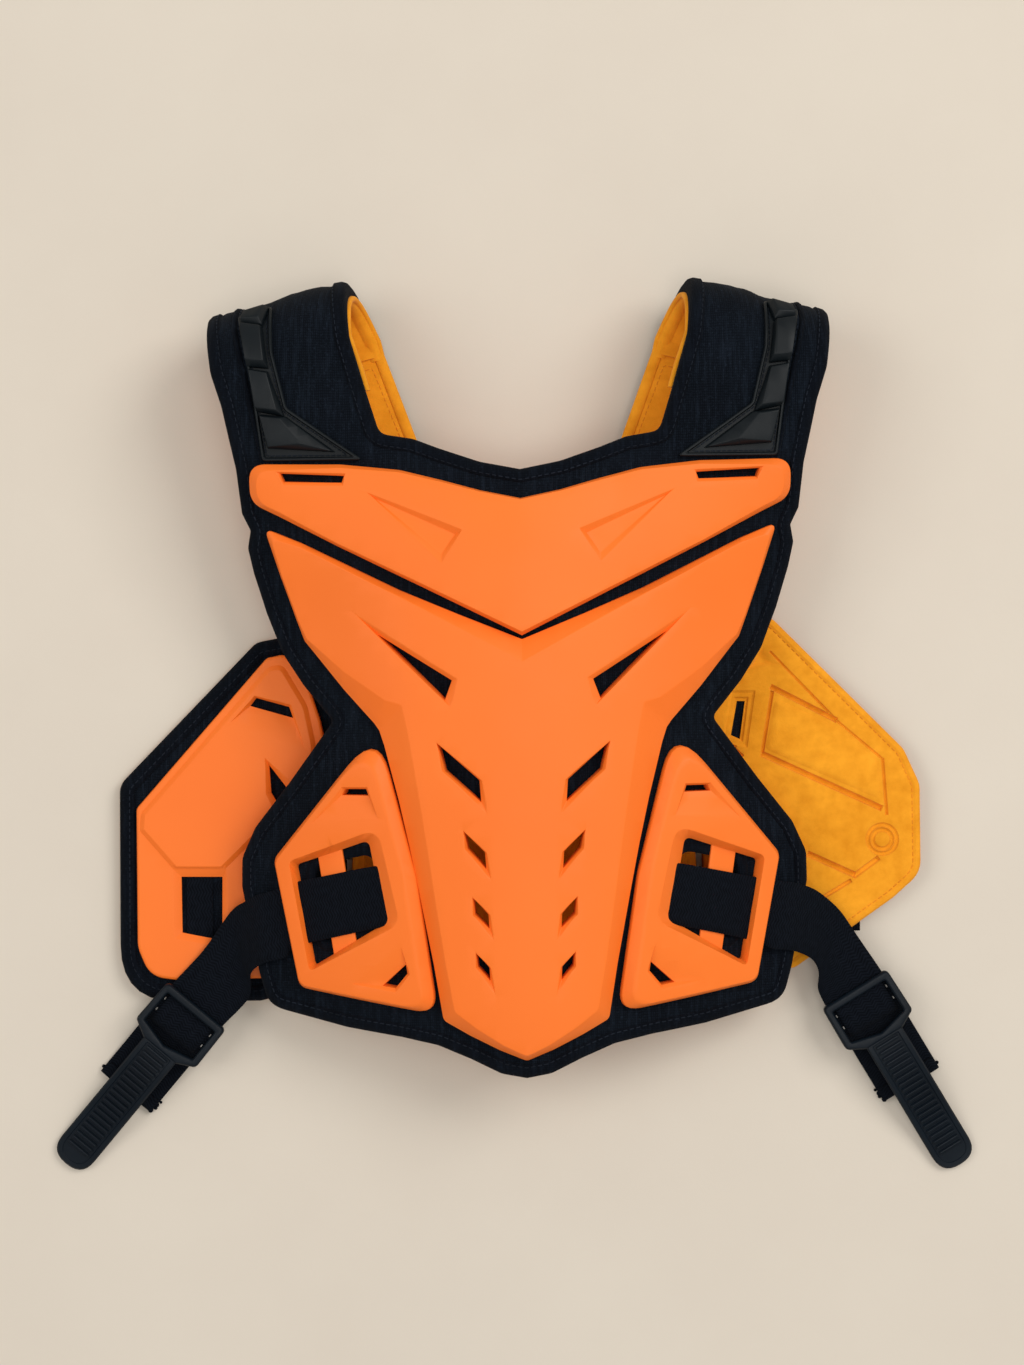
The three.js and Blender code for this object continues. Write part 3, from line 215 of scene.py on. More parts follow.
# Webbing from a rib plate to its hook: the height is over the floor, the lift over the pad
STRAP_ON_PAD = table("x high low lift", [
    (64, -96.6, -129.3, 2.7), (83.2, -99.2, -133.6, 2.7), (105.6, -104, -138.9, 2.7),
    (126.4, -108.6, -144.6, 2.9),
])
STRAP_FREE = {
    "left": table("upper lower z", [
        ((-139.4, -113.6), (-132.1, -150.4), 39), ((-148.3, -116.2), (-143.4, -153.6), 34.5),
        ((-155.1, -120.1), (-150.2, -157.4), 28.5), ((-162.5, -124.5), (-153.8, -162.4), 23),
        ((-170.4, -133.9), (-153.8, -168.4), 19), ((-181.5, -149), (-156.6, -176.8), 16.5),
    ]),
    "right": table("upper lower z", [
        ((140.6, -111.5), (136.3, -149), 39), ((149.6, -112.9), (145.8, -150.3), 34.5),
        ((160.2, -116.7), (154.2, -153.2), 28), ((168.6, -122.5), (160.9, -157.7), 23),
        ((177.4, -131), (164.4, -165), 19), ((187, -145), (164.2, -174), 16.5),
    ]),
}
STRAP_TAIL = table("along z", [(-3, 14.3), (8, 14.4), (15, 14.2), (21, 11), (31, 7), (46, 4), (64, 0.6)])
STRAP_LOOP = table("along z", [(1, 15.6), (6, 16), (13, 15.9), (18, 14.4), (20.5, 12.4)])
STRAP_LOOP_WIDTH = 31
STRAP_FOLD = table("along z", [(56, 3.8), (63.6, 2.4)])
STRAP_FOLD_WIDTH = 36.4
STRAP_STITCH_ROWS = (-16.4, 16.4)
# Loose threads at the cut end of the webbing: place along, place across and size
FRAYS = [(63.2, -17.6, 1.5), (60.4, -19, 1.1), (58.6, -18.4, 1.4), (56, -19.2, 0.9), (61, 18.8, 1.1)]
HOOKS = {
    "left": {"x": -186.2, "y": -180.9, "turn": math.radians(229.5)},
    "right": {"x": 185.5, "y": -176, "turn": math.radians(301)},
}

# Hook in its own plan, x along its axis
HOOK_LOW = 16.2
HOOK_HIGH = 20.8
HOOK_TIP = 30
TAB_END = 117
TAB_TOP = 20
TAB_FOOT = 0.6
HOOK_RING = table("x y round", [
    (-2, -21.2, 3.4), (25, -21.8, 3.4), (30.6, -11.6, 1.4),
    (30.6, 11.6, 1.4), (25, 21.8, 3.4), (-2, 21.2, 3.4),
])
HOOK_OPENING = table("x y round", [
    (2.8, -17.2, 1), (22.6, -17.4, 1), (27, 0, 2), (22.6, 17.4, 1), (2.8, 17.2, 1),
])
HOOK_TAB = table("x y round", [(28, -11.6, 1), (117, -11.8, 11.8), (117, 11.8, 11.8), (28, 11.6, 1)])
HOOK_RIB = table("x y round", [(32.4, -7.2, 0.8), (34.1, -7.2, 0.8), (34.1, 7.2, 0.8), (32.4, 7.2, 0.8)])
HOOK_RIBS = 21
HOOK_RIB_PITCH = 3.6
HOOK_BAR = table("x y", [(8.6, -20), (16.6, -20), (16.6, 20), (8.6, 20)])
HOOK_BAR_LOW = 9.8
HOOK_BAR_HIGH = 13.6

# Side guards, on the side where each one lies, with the heights of their layers over the floor
SHELL_THICKNESS = 3.2
LEFT_LINING_LAYER = (0, 2.6)
LEFT_CUSHION_LAYER = (3, 8.6)
LEFT_SHELL_LOW = 9
LEFT_SHELL_TOP = 12.7
LEFT_RAISED_TOP = 14.4
RIGHT_CUSHION_LAYER = (3.6, 9.6)
RIGHT_LINING_LOW = 9.8
RIGHT_LINING_TOP = 13
LEFT_PAD = table("x y round", [
    (-128, 28, 8), (-150, 24.1, 10), (-228.1, -55.4, 12), (-229, -178, 32), (-150, -178, 8),
    (-101, -165, 8), (-101, -12, 12),
])
LEFT_SHELL = table("x y round", [
    (-133.5, 17.6, 6), (-144, 15.6, 6), (-218.6, -68.6, 5), (-218.8, -147, 20), (-212, -163.6, 16),
    (-192, -166.4, 20), (-150, -165.2, 8), (-112, -160, 8), (-110, -40, 20), (-114, -20, 30),
    (-122, 5, 24),
])
LEFT_RAISED = table("x y round", [
    (-135.6, 10.6, 8), (-142.4, 9.4, 6), (-214.6, -71.6, 3), (-215.4, -80.6, 2), (-196.6, -102.6, 2),
    (-170.4, -103, 2), (-154, -87, 2), (-118, -60, 8), (-118, -34, 14), (-122.4, -12, 20),
])
LEFT_WINDOW = table("x y", [(-193.7, -107.4), (-170.5, -107.7), (-171, -143.6), (-193.5, -139)])
LEFT_WINDOW_RIM = table("x y", [(-198.2, -102.6), (-168, -103.2), (-167, -149), (-198.2, -142)])
LEFT_SLOTS = [
    (table("x y", [(-150.1, -6.9), (-131.6, -12.2), (-129.4, -18.5), (-153.6, -11.4)]),
     table("x y", [(-151, -5.6), (-130.4, -11), (-122.6, -36.4), (-164.6, -20.6)])),
    (table("x y", [(-143.3, -44.8), (-133.8, -57.3), (-139.6, -65.2), (-142.3, -60.6)]),
     table("x y", [(-145.6, -40.6), (-128, -58), (-139, -73), (-145.2, -61.4)])),
]
RIGHT_GUARD = table("x y round", [
    (128, 35.2, 8), (142, 34.2, 6), (215, -40, 14), (223.9, -60, 14), (223.9, -110, 16),
    (208.1, -124, 10), (152, -163, 8), (101, -165, 8), (101, -12, 12),
])
RIGHT_CREASES = table("start end width depth", [
    ((140.5, -4.2), (176.9, -23.3), 4, 2.9), ((134.9, -42), (201.7, -73.3), 4.4, 3),
    ((141, -6.9), (135, -40.9), 2.6, 2.2), ((140.2, 15.5), (178, -24.4), 2, 1.4),
    ((202.8, -45.6), (204.8, -76.7), 2.4, 1.5), ((178, -24.4), (202.8, -45.6), 2, 1.2),
    ((160.2, -98.7), (186.6, -110.9), 4.6, 3), ((186, -111.4), (199.7, -101.5), 4, 2),
    ((167, -124), (184, -114), 3, 1.8), ((140, -118), (158, -136), 3.4, 2.5),
    ((112.5, -34.6), (120, -37.6), 2, 1.4), ((118.6, -38.4), (123.6, -43), 3, 1.8),
])
RIGHT_RAISED = table("x y round", [
    (143.6, -12.2, 2), (182, -31.2, 3), (199.2, -48.6, 3), (199.8, -66.4, 2), (138.4, -38.4, 2),
])
RIGHT_SLOT = table("x y", [(121.2, -11.9), (125.7, -12), (122.6, -33.4), (117.6, -31.1)])
RIGHT_SLOT_RIM = table("x y", [(117.4, -6), (131.6, -6), (126.6, -38.4), (112.4, -35)])
RIGHT_SLOT_FOOT = table("x y", [(118.6, -7.4), (130, -7.4), (125.4, -36.6), (113.8, -34)])
RIGHT_SLOT_MIDDLE = table("x y", [(119.6, -9.6), (127.8, -9.6), (124.2, -35), (115.8, -32.4)])
RIGHT_SLOT_MIDDLE_FOOT = table("x y", [(120.4, -10.6), (126.8, -10.6), (123.2, -34.2), (116.8, -31.8)])
# Each step round the slot: its foot, its rim and its depth
RIGHT_STEPS = [
    (RIGHT_SLOT_FOOT, RIGHT_SLOT_RIM, 1.1), (RIGHT_SLOT_MIDDLE_FOOT, RIGHT_SLOT_MIDDLE, 2.2),
]
RIGHT_ARROW = (
    table("x y", [(132.8, 15), (137.8, 10.4), (131, 8.8)]),
    table("x y", [(136.4, 18.4), (146, 8.4), (126.6, 5)]),
)
RIGHT_BOSS = (202.1, -90.8)
RIGHT_BOSS_RINGS = (5.4, 8.2)
BACK_PANEL = table("x y round", [
    (0, 99.8, 0), (30.1, 104.2, 12), (52, 119.9, 16), (77.8, 186.1, 4), (154.3, 166.3, 4), (133, 75, 20),
    (97, 14.8, 16), (94, -60.2, 0), (97, -119.9, 0), (94, -171.8, 20), (0, -197.9, 0),
])
BACK_INSET = 4
BACK_CUSHION_LAYER = (3.6, 11.2)
BACK_LINING_LAYER = (12, 15)
GUARD_WEB = (-106, -143)
GUARD_WEB_START = 88


def on_side(side, rows):
    """The rows of the right half, or their mirror image on the left."""
    return [{**row, **{key: side * row[key] for key in ("x", "crease_x") if key in row}} for row in rows]


def rib_side(side, rows):
    """The rows of a rib plate: the left one lies nearer to the middle, its foot a little less."""
    if side > 0:
        return on_side(side, rows)
    moved = []
    for row in rows:
        shift = mix(RIB_FOOT_SHIFT, RIB_SHIFT, smooth((row["y"] - RIB_FOOT_Y) / RIB_FOOT_RUN))
        moved.append({**row, "x": row["x"] - shift})
    return on_side(side, moved)


def corners(rows):
    return [(row["x"], row["y"]) for row in rows]


def whole(half):
    """A whole outline from its right half."""
    return half + on_side(-1, half[1:-1][::-1])


# Form
def smooth(value):
    share = min(max(value, 0), 1)
    return share * share * (3 - 2 * share)


def mix(start, end, share):
    return start + (end - start) * share


def height_at(x, y):
    """Height of the pad's face over the floor."""
    hem = ((CREST_Y - y) / (CREST_Y - HEM_Y)) ** 2
    shoulder = smooth((y - CREST_Y) / (STRAP_JOIN_Y - CREST_Y))
    crown = CREST_HEIGHT - (HEM_DROP * hem if y < CREST_Y else SHOULDER_DROP * shoulder)
    reach = min(abs(x), ROUND_HALF_WIDTH)
    fall = CHEST_RADIUS - math.sqrt(CHEST_RADIUS ** 2 - reach ** 2)
    fall += max(0, abs(x) - ROUND_HALF_WIDTH) * SIDE_SLOPE
    return crown - fall * (1 - smooth((y - FLATTEN_FROM_Y) / (STRAP_JOIN_Y - FLATTEN_FROM_Y)))


def beyond_bend(x, y):
    return (Vector((abs(x), y)) - BEND_START).dot(BEND_AWAY)


def lay(x, y, lift):
    """Where a point of the flat pattern comes to lie, lift over the pad's face."""
    away = beyond_bend(x, y)
    if away > 0 and y > STRAP_JOIN_Y:
        return wrap(x, y, lift, away)
    step = 0.5
    slope_x = (height_at(x + step, y) - height_at(x - step, y)) / (2 * step)
    slope_y = (height_at(x, y + step) - height_at(x, y - step)) / (2 * step)
    normal = Vector((-slope_x, -slope_y, 1)).normalized()
    return Vector((x, y, height_at(x, y))) + normal * lift


def wrap(x, y, lift, away):
    turn = min(away, BEND_ARC) / BEND_RADIUS
    straight = max(0, away - BEND_ARC)
    back = (BEND_RADIUS + lift) * math.sin(turn) - straight - away
    side = math.copysign(1, x)
    z = BEND_HEIGHT + (BEND_RADIUS + lift) * math.cos(turn)
    return Vector((x + side * back * BEND_AWAY.x, y + back * BEND_AWAY.y, z))


def flat(x, y, z):
    return Vector((x, y, z))


# Outlines
def corner_points(rows, keys, inset):
    """The corners of an outline, moved inwards by inset times each edge's skirt."""
    places = [Vector((row[keys[0]], row[keys[1]])) for row in rows]
    count = len(places)
    moved = []
    for index, place in enumerate(places):
        before = (place - places[index - 1]).normalized()
        after = (places[(index + 1) % count] - place).normalized()
        inward = [Vector((-edge.y, edge.x)) for edge in (before, after)]
        reach = [inset * rows[index - 1].get("skirt", 1), inset * rows[index].get("skirt", 1)]
        turn = before.cross(after)
        if abs(turn) < 0.08:
            moved.append(place + (inward[0] * reach[0] + inward[1] * reach[1]) / 2)
            continue
        along = (reach[1] - reach[0] * inward[0].dot(inward[1])) / inward[1].dot(before)
        moved.append(place + inward[0] * reach[0] + before * along)
    return moved


def area(rows, keys=("x", "y")):
    places = [(row[keys[0]], row[keys[1]]) for row in rows]
    return sum(a[0] * b[1] - b[0] * a[1] for a, b in zip(places, places[1:] + places[:1])) / 2


def loop(rows, inset=0, keys=("x", "y"), step=EDGE_STEP):
    """Points round an outline, counter-clockwise, as many for every inset."""
    rows = [dict(row) for row in rows]
    if area(rows) < 0:
        rows = rows[::-1]
        skirts = [row.get("skirt", 1) for row in rows]
        for row, skirt in zip(rows, skirts[1:] + skirts[:1]):
            row["skirt"] = skirt
    count = len(rows)
    base = corner_points(rows, ("x", "y"), 0)
    places = corner_points(rows, keys, inset)
    points = []
    for index, row in enumerate(rows):
        place = places[index]
        back = places[index - 1] - place
        ahead = places[(index + 1) % count] - place
        edge = (base[(index + 1) % count] - base[index]).length
        convex = (-back).cross(ahead) > 0
        radius = row.get("round", 0)
        if radius:
            radius = max(radius - inset * (1 if convex else -1), 0.4)
            turn = back.angle(ahead) / 2
            cut = min(radius / math.tan(turn), 0.48 * back.length, 0.48 * ahead.length)
            start = place + back.normalized() * cut
            end = place + ahead.normalized() * cut
            for bend in range(CORNER_STEPS + 1):
                share = bend / CORNER_STEPS
                points.append(start.lerp(place, share).lerp(place.lerp(end, share), share))
        else:
            end = place
            points.append(place)
        next_row = rows[(index + 1) % count]
        target = places[(index + 1) % count]
        if next_row.get("round", 0):
            onward = places[(index + 2) % count] - target
            here = place - target
            bulge = here.cross(onward) < 0
            next_radius = max(next_row["round"] - inset * (1 if bulge else -1), 0.4)
            turn = here.angle(onward) / 2
            cut = min(next_radius / math.tan(turn), 0.48 * here.length, 0.48 * onward.length)
            target = target + here.normalized() * cut
        pieces = max(1, round(edge / step))
        for piece in range(1, pieces):
            points.append(end.lerp(target, piece / pieces))
    return points


def ring(points, z):
    return [(point[0], point[1], z) for point in points]


class Trail:
    """A line on the flat pattern that can be walked along by distance."""

    def __init__(self, points, closed=True):
        self.points = [Vector(point[:2]) for point in points]
        if closed:
            self.points.append(self.points[0])
        self.marks = [0]
        for start, end in zip(self.points, self.points[1:]):
            self.marks.append(self.marks[-1] + (end - start).length)
        self.length = self.marks[-1]

    def at(self, distance, off=0):
        index = min(max(bisect.bisect_right(self.marks, distance), 1), len(self.marks) - 1)
        start, end = self.points[index - 1], self.points[index]
        ahead = (end - start) / (self.marks[index] - self.marks[index - 1])
        return start + ahead * (distance - self.marks[index - 1]) + Vector((-ahead.y, ahead.x)) * off


def eased(points, steps=4):
    """More points on a smooth line through the given ones."""
    rows = [points[0] * 2 - points[1], *points, points[-1] * 2 - points[-2]]
    line = []
    for before, start, end, after in zip(rows, rows[1:], rows[2:], rows[3:]):
        leaving = start + (end - before) / 6
        coming = end - (after - start) / 6
        line += interpolate_bezier(start, leaving, coming, end, steps + 1)[:-1]
    return line + [points[-1]]


# Modelling
def alone(piece):
    bpy.ops.object.select_all(action="DESELECT")
    piece.select_set(True)
    bpy.context.view_layer.objects.active = piece


def edit(piece):
    alone(piece)
    bpy.ops.object.mode_set(mode="EDIT")
    bpy.ops.mesh.select_mode(type="VERT")
    bpy.ops.mesh.select_all(action="SELECT")


def leave():
    bpy.ops.object.mode_set(mode="OBJECT")


def loft(name, rings, capped=True, pattern=None):
    """A circle with as many corners as a ring, extruded once for each further ring."""
    count = len(rings[0])
    bpy.ops.object.select_all(action="DESELECT")
    fill = "NGON" if capped else "NOTHING"
    bpy.ops.mesh.primitive_circle_add(vertices=count, radius=1, fill_type=fill)
    piece = bpy.context.object
    piece.name = piece.data.name = name
    edit(piece)
    for _ in rings[1:]:
        bpy.ops.mesh.extrude_region_move(TRANSFORM_OT_translate={"value": (0, 0, 1)})
    leave()
    flat_places = {}
    for vertex in piece.data.vertices:
        corner = round(math.atan2(-vertex.co.x, vertex.co.y) / math.tau * count) % count
        level = round(vertex.co.z)
        vertex.co = rings[level][corner]
        if pattern:
            flat_places[vertex.index] = pattern[level][corner]
    if pattern:
        layer = piece.data.uv_layers.new(name="pattern")
        for spot in piece.data.loops:
            layer.data[spot.index].uv = Vector(flat_places[spot.vertex_index]) * MM
    if not capped:
        weld(piece)
    face_out(piece)
    return piece


def weld(piece, distance=0.001):
    edit(piece)
    bpy.ops.mesh.remove_doubles(threshold=distance)
    leave()


def face_out(piece):
    edit(piece)
    bpy.ops.mesh.normals_make_consistent(inside=False)
    leave()


def modify(piece, kind, **settings):
    """Adds a modifier and applies it."""
    alone(piece)
    modifier = piece.modifiers.new(kind.lower(), kind)
    for key, value in settings.items():
        setattr(modifier, key, value)
    bpy.ops.object.modifier_apply(modifier=modifier.name)
    return piece


def cut(piece, cutter, operation="DIFFERENCE"):
    modify(piece, "BOOLEAN", operation=operation, solver="EXACT", object=cutter)
    bpy.data.objects.remove(cutter)
    return piece


def fuse(piece, added):
    return cut(piece, added, "UNION")


def join(name, pieces):
    alone(pieces[0])
    for piece in pieces[1:]:
        piece.select_set(True)
    bpy.ops.object.join()
    whole_piece = bpy.context.object
    whole_piece.name = whole_piece.data.name = name
    return whole_piece


def soften(piece, width, angle=24, segments=3):
    return modify(piece, "BEVEL", width=width, segments=segments, limit_method="ANGLE",
                  angle_limit=math.radians(angle), use_clamp_overlap=True)


def score(piece, step=GRID, folds=False):
    """Cuts a flat piece along a grid, and across the straps, so that it can bend."""
    corners = [Vector(corner) for corner in piece.bound_box]
    low = Vector(map(min, *corners))
    high = Vector(map(max, *corners))
    edit(piece)
    cuts = []
    for axis in (0, 1):
        normal = Vector((axis == 0, axis == 1, 0))
        top = min(high[axis], STRAP_JOIN_Y) if axis and folds else high[axis]
        first = math.ceil(low[axis] / step + 0.01)
        cuts += [(normal * (line * step), normal) for line in range(first, math.ceil(top / step))]
    if folds:
        for side in SIDES.values():
            normal = Vector((side * BEND_AWAY.x, BEND_AWAY.y, 0))
            start = Vector((side * BEND_START.x, BEND_START.y, 0))
            rows = math.ceil(BEND_ARC / BEND_STEP)
            for row in range(rows + 1):
                cuts.append((start + normal * (BEND_ARC * row / rows), normal))
    for place, normal in cuts:
        bpy.ops.mesh.select_all(action="SELECT")
        bpy.ops.mesh.bisect(plane_co=place, plane_no=normal)
    leave()
    return piece


def settle(piece, shape=lay, smooth_angle=30):
    """Keeps the flat places as the map named pattern, then lays the piece on the form."""
    mesh = piece.data
    if "pattern" not in mesh.uv_layers:
        layer = mesh.uv_layers.new(name="pattern")
        for spot in mesh.loops:
            place = mesh.vertices[spot.vertex_index].co
            layer.data[spot.index].uv = (place.x * MM, place.y * MM)
    for vertex in mesh.vertices:
        vertex.co = (shape(*vertex.co) + ORIGIN) * MM
    mesh.update()
    alone(piece)
    bpy.ops.object.shade_smooth_by_angle(angle=math.radians(smooth_angle))
    return piece


def stacked(name, rows, levels):
    """A piece with one outline: inset and height for each of its levels."""
    return loft(name, [ring(loop(rows, inset), z) for inset, z in levels])


def well(hole, rim, top, depth, low=-20):
    """A cutter with a straight hole and a slope from its rim down to the hole."""
    edge = corners(hole)
    brim = corners(rim)
    over = 1.2
    spread = [
        (b[0] + (b[0] - e[0]) * over / depth, b[1] + (b[1] - e[1]) * over / depth)
        for e, b in zip(edge, brim)
    ]
    return loft("well", [ring(edge, low), ring(edge, top - depth), ring(spread, top + over)])


def stitches(name, points, lift, pitch=3.6, closed=True, shape=lay, size=(2.4, 0.6, 0.6)):
    """One stitch, repeated along a line of the flat pattern."""
    trail = Trail(points, closed)
    bpy.ops.object.select_all(action="DESELECT")
    bpy.ops.mesh.primitive_cube_add(size=1)
    piece = bpy.context.object
    piece.name = piece.data.name = name
    edit(piece)
    bpy.ops.transform.resize(value=size)
    leave()
    soften(piece, 0.2, segments=1)
    count = int(trail.length / pitch)
    modify(piece, "ARRAY", count=count, use_relative_offset=False, use_constant_offset=True,
           constant_offset_displace=(trail.length / count, 0, 0))

    def onto(x, y, z):
        place = trail.at(x % trail.length if closed else x + pitch / 2, y)
        return shape(place.x, place.y, lift + z)
    return settle(piece, onto)


def piping(name, points, profile, shape=lay, closed=False):
    """A profile swept along a line: offset across it and lift for each corner."""
    trail = Trail(points, closed)
    count = round(trail.length / SWEEP_STEP)
    rings = []
    for index in range(count + 1):
        places = [trail.at(trail.length * index / count, off) for off, _ in profile]
        rings.append([(place.x, place.y, lift) for place, (_, lift) in zip(places, profile)])
    return settle(loft(name, rings), shape, 60)


def tube(radius, lift, off=0, corners=8):
    """The profile of a round piping."""
    turns = [math.tau * corner / corners for corner in range(corners)]
    return [(off + radius * math.cos(turn), lift + radius * math.sin(turn)) for turn in turns]


RIBBON_SPLITS = 8
RIBBON_TOP = [(split / RIBBON_SPLITS, 1) for split in range(1, RIBBON_SPLITS)]
RIBBON_SECTION = [
    (0, 0.5), (0.015, 0.9), *RIBBON_TOP, (0.985, 0.9), (1, 0.5), (0.985, 0.1),
    *((share, 0) for share, _ in RIBBON_TOP[::-1]), (0.015, 0.1),
]


def ribbon(name, sections, thickness=WEB_THICKNESS):
    """Webbing through a row of sections, each an upper and a lower edge point."""
    uppers = eased([section[0] for section in sections])
    lowers = eased([section[1] for section in sections])
    middles = [(upper + lower) / 2 for upper, lower in zip(uppers, lowers)]
    rings = []
    pattern = []
    along = 0
    for index, (upper, lower) in enumerate(zip(uppers, lowers)):
        before = middles[max(0, index - 1)]
        after = middles[min(len(middles) - 1, index + 1)]
        along += (middles[index] - before).length
        normal = (lower - upper).cross(after - before).normalized()
        normal = normal if normal.z > 0 else -normal
        waves = [noise.noise(Vector((share * 3, along / 14, 5))) * 0.35 for share, _ in RIBBON_SECTION]
        rings.append([
            upper.lerp(lower, share) + normal * (thickness * rise + wave)
            for (share, rise), wave in zip(RIBBON_SECTION, waves)
        ])
        pattern.append([(share * WEB_WIDTH, along) for share, _ in RIBBON_SECTION])
    return settle(loft(name, rings, pattern=pattern), flat, 60)


# Finishes
class Value:
    """A node's output that reads like a number in an expression."""

    def __init__(self, finish, socket):
        self.finish = finish
        self.socket = socket

    def __add__(self, other):
        return self.finish.maths("ADD", self, other)

    def __sub__(self, other):
        return self.finish.maths("SUBTRACT", self, other)

    def __rsub__(self, other):
        return self.finish.maths("SUBTRACT", other, self)

    def __mul__(self, other):
        return self.finish.maths("MULTIPLY", self, other)

    def __pow__(self, other):
        return self.finish.maths("POWER", self, other)

    __radd__ = __add__
    __rmul__ = __mul__


class Finish:
    """A material made from nodes round one shader."""

    def __init__(self, name, roughness=0.5, specular=0.5, sheen=0, coat=0):
        self.material = bpy.data.materials.new(name)
        self.material.use_nodes = True
        self.tree = self.material.node_tree
        self.shader = self.tree.nodes["Principled BSDF"]
        self.set("Roughness", roughness)
        self.set("Specular IOR Level", specular)
        self.set("Sheen Weight", sheen)
        self.set("Coat Weight", coat)

    def set(self, name, value):
        self.feed(self.shader.inputs[name], value)

    def feed(self, socket, value):
        if isinstance(value, Value):
            self.tree.links.new(value.socket, socket)
        else:
            socket.default_value = value

    def node(self, kind, settings=None, inputs=None, output=0):
        node = self.tree.nodes.new(kind)
        for key, value in (settings or {}).items():
            if key == "stops":
                while len(node.color_ramp.elements) < len(value):
                    node.color_ramp.elements.new(0.5)
                for element, (place, colour) in zip(node.color_ramp.elements, value):
                    element.position = place
                    element.color = (*colour, 1)
            else:
                setattr(node, key, value)
        for key, value in (inputs or {}).items():
            self.feed(node.inputs[key], value)
        return Value(self, node.outputs[output])

    def maths(self, operation, *values):
        return self.node("ShaderNodeMath", {"operation": operation}, dict(enumerate(values)))

    def clamped(self, value):
        return self.node("ShaderNodeClamp", inputs={"Value": value})

    def place(self):
        """The point in metres on the object."""
        return self.node("ShaderNodeTexCoord", output="Object")

    def pattern(self):
        """The point on the flat pattern, in metres."""
        return self.node("ShaderNodeUVMap", {"uv_map": "pattern"})

    def stretched(self, place, along_x, along_y):
        inputs = {0: place, 1: (along_x, along_y, 1)}
        return self.node("ShaderNodeVectorMath", {"operation": "MULTIPLY"}, inputs)

    def noise(self, place, scale, detail=3, roughness=0.5):
        inputs = {"Vector": place, "Scale": scale, "Detail": detail, "Roughness": roughness}
        return self.node("ShaderNodeTexNoise", inputs=inputs)

    def split(self, place):
        return [self.node("ShaderNodeSeparateXYZ", None, {"Vector": place}, axis) for axis in "XY"]

    def wave(self, value, pitch):
        """From 0 to 1 and back once for each pitch in metres."""
        return self.maths("SINE", value * (math.tau / pitch)) * 0.5 + 0.5

    def bump(self, height, depth, strength=1.0):
        inputs = {"Height": height, "Distance": depth, "Strength": strength}
        self.set("Normal", self.node("ShaderNodeBump", inputs=inputs))

    def ramp(self, value, stops):
        return self.node("ShaderNodeValToRGB", {"stops": stops}, {"Fac": value})


def satin_plastic(name, colour, shade):
    finish = Finish(name, specular=0.28)
    place = finish.place()
    cloud = finish.noise(place, 9, 2)
    grain = finish.noise(place, 1500, 2)
    finish.set("Base Color", finish.ramp(cloud, [(0.3, shade), (0.7, colour)]))
    finish.set("Roughness", finish.noise(place, 60, 3) * 0.08 + 0.44)
    finish.bump(grain, 0.00004, 0.35)
    return finish.material


def woven(name, dark, light, pitch=0.0011):
    finish = Finish(name, roughness=0.95, specular=0.07, sheen=0.015)
    place = finish.pattern()
    across, along = finish.split(place)
    wobble = finish.noise(place, 160, 2) * 0.0012
    warp = finish.wave(across + wobble, pitch)
    weft = finish.wave(along + wobble, pitch * 1.3)
    fleck = finish.clamped((finish.noise(place, 700, 2) - 0.58) * 8)
    streak = finish.clamped((finish.noise(finish.stretched(place, 420, 42), 1, 4, 0.65) - 0.48) * 3.2)
    cloud = finish.noise(place, 25, 3)
    tone = finish.clamped(warp * weft * 0.25 + fleck * 0.35 + streak * 0.45 + cloud * 0.25)
    finish.set("Base Color", finish.ramp(tone, [(0.1, dark), (0.95, light)]))
    finish.bump(warp * 0.5 + weft * 0.3 + fleck * 0.3 + streak * 0.8, 0.0003, 0.7)
    return finish.material


def suede(name, dark, light):
    finish = Finish(name, roughness=0.95, specular=0.12, sheen=0.06)
    place = finish.place()
    crinkle = finish.noise(place, 120, 5, 0.6)
    nap = finish.noise(place, 1100, 3)
    cloud = finish.noise(place, 18, 3)
    tone = finish.clamped(crinkle * 0.6 + cloud * 0.5)
    finish.set("Base Color", finish.ramp(tone, [(0.35, dark), (0.7, light)]))
    finish.bump(crinkle * 0.8 + nap * 0.3, 0.0006, 0.55)
    return finish.material


def moulded(name, dark, light, roughness, specular=0.16):
    finish = Finish(name, specular=specular)
    place = finish.place()
    finish.set("Base Color", finish.ramp(finish.noise(place, 30, 3), [(0.3, dark), (0.7, light)]))
    finish.set("Roughness", finish.noise(place, 200, 3) * 0.15 + roughness)
    finish.bump(finish.noise(place, 1400, 2), 0.00005, 0.4)
    return finish.material


def ribbed_webbing(name, dark, light):
    finish = Finish(name, roughness=0.9, specular=0.06, sheen=0.01)
    place = finish.pattern()
    across, along = finish.split(place)
    zigzag = finish.maths("PINGPONG", across, 0.0035)
    rib = finish.wave(along + zigzag * 0.5, 0.0017)
    yarn = finish.wave(across, 0.0009)
    cloud = finish.noise(place, 300, 3)
    tone = finish.clamped(rib * 0.4 + cloud * 0.5)
    finish.set("Base Color", finish.ramp(tone, [(0.15, dark), (0.85, light)]))
    finish.bump(rib * 0.7 + yarn * 0.3, 0.0003, 0.7)
    return finish.material


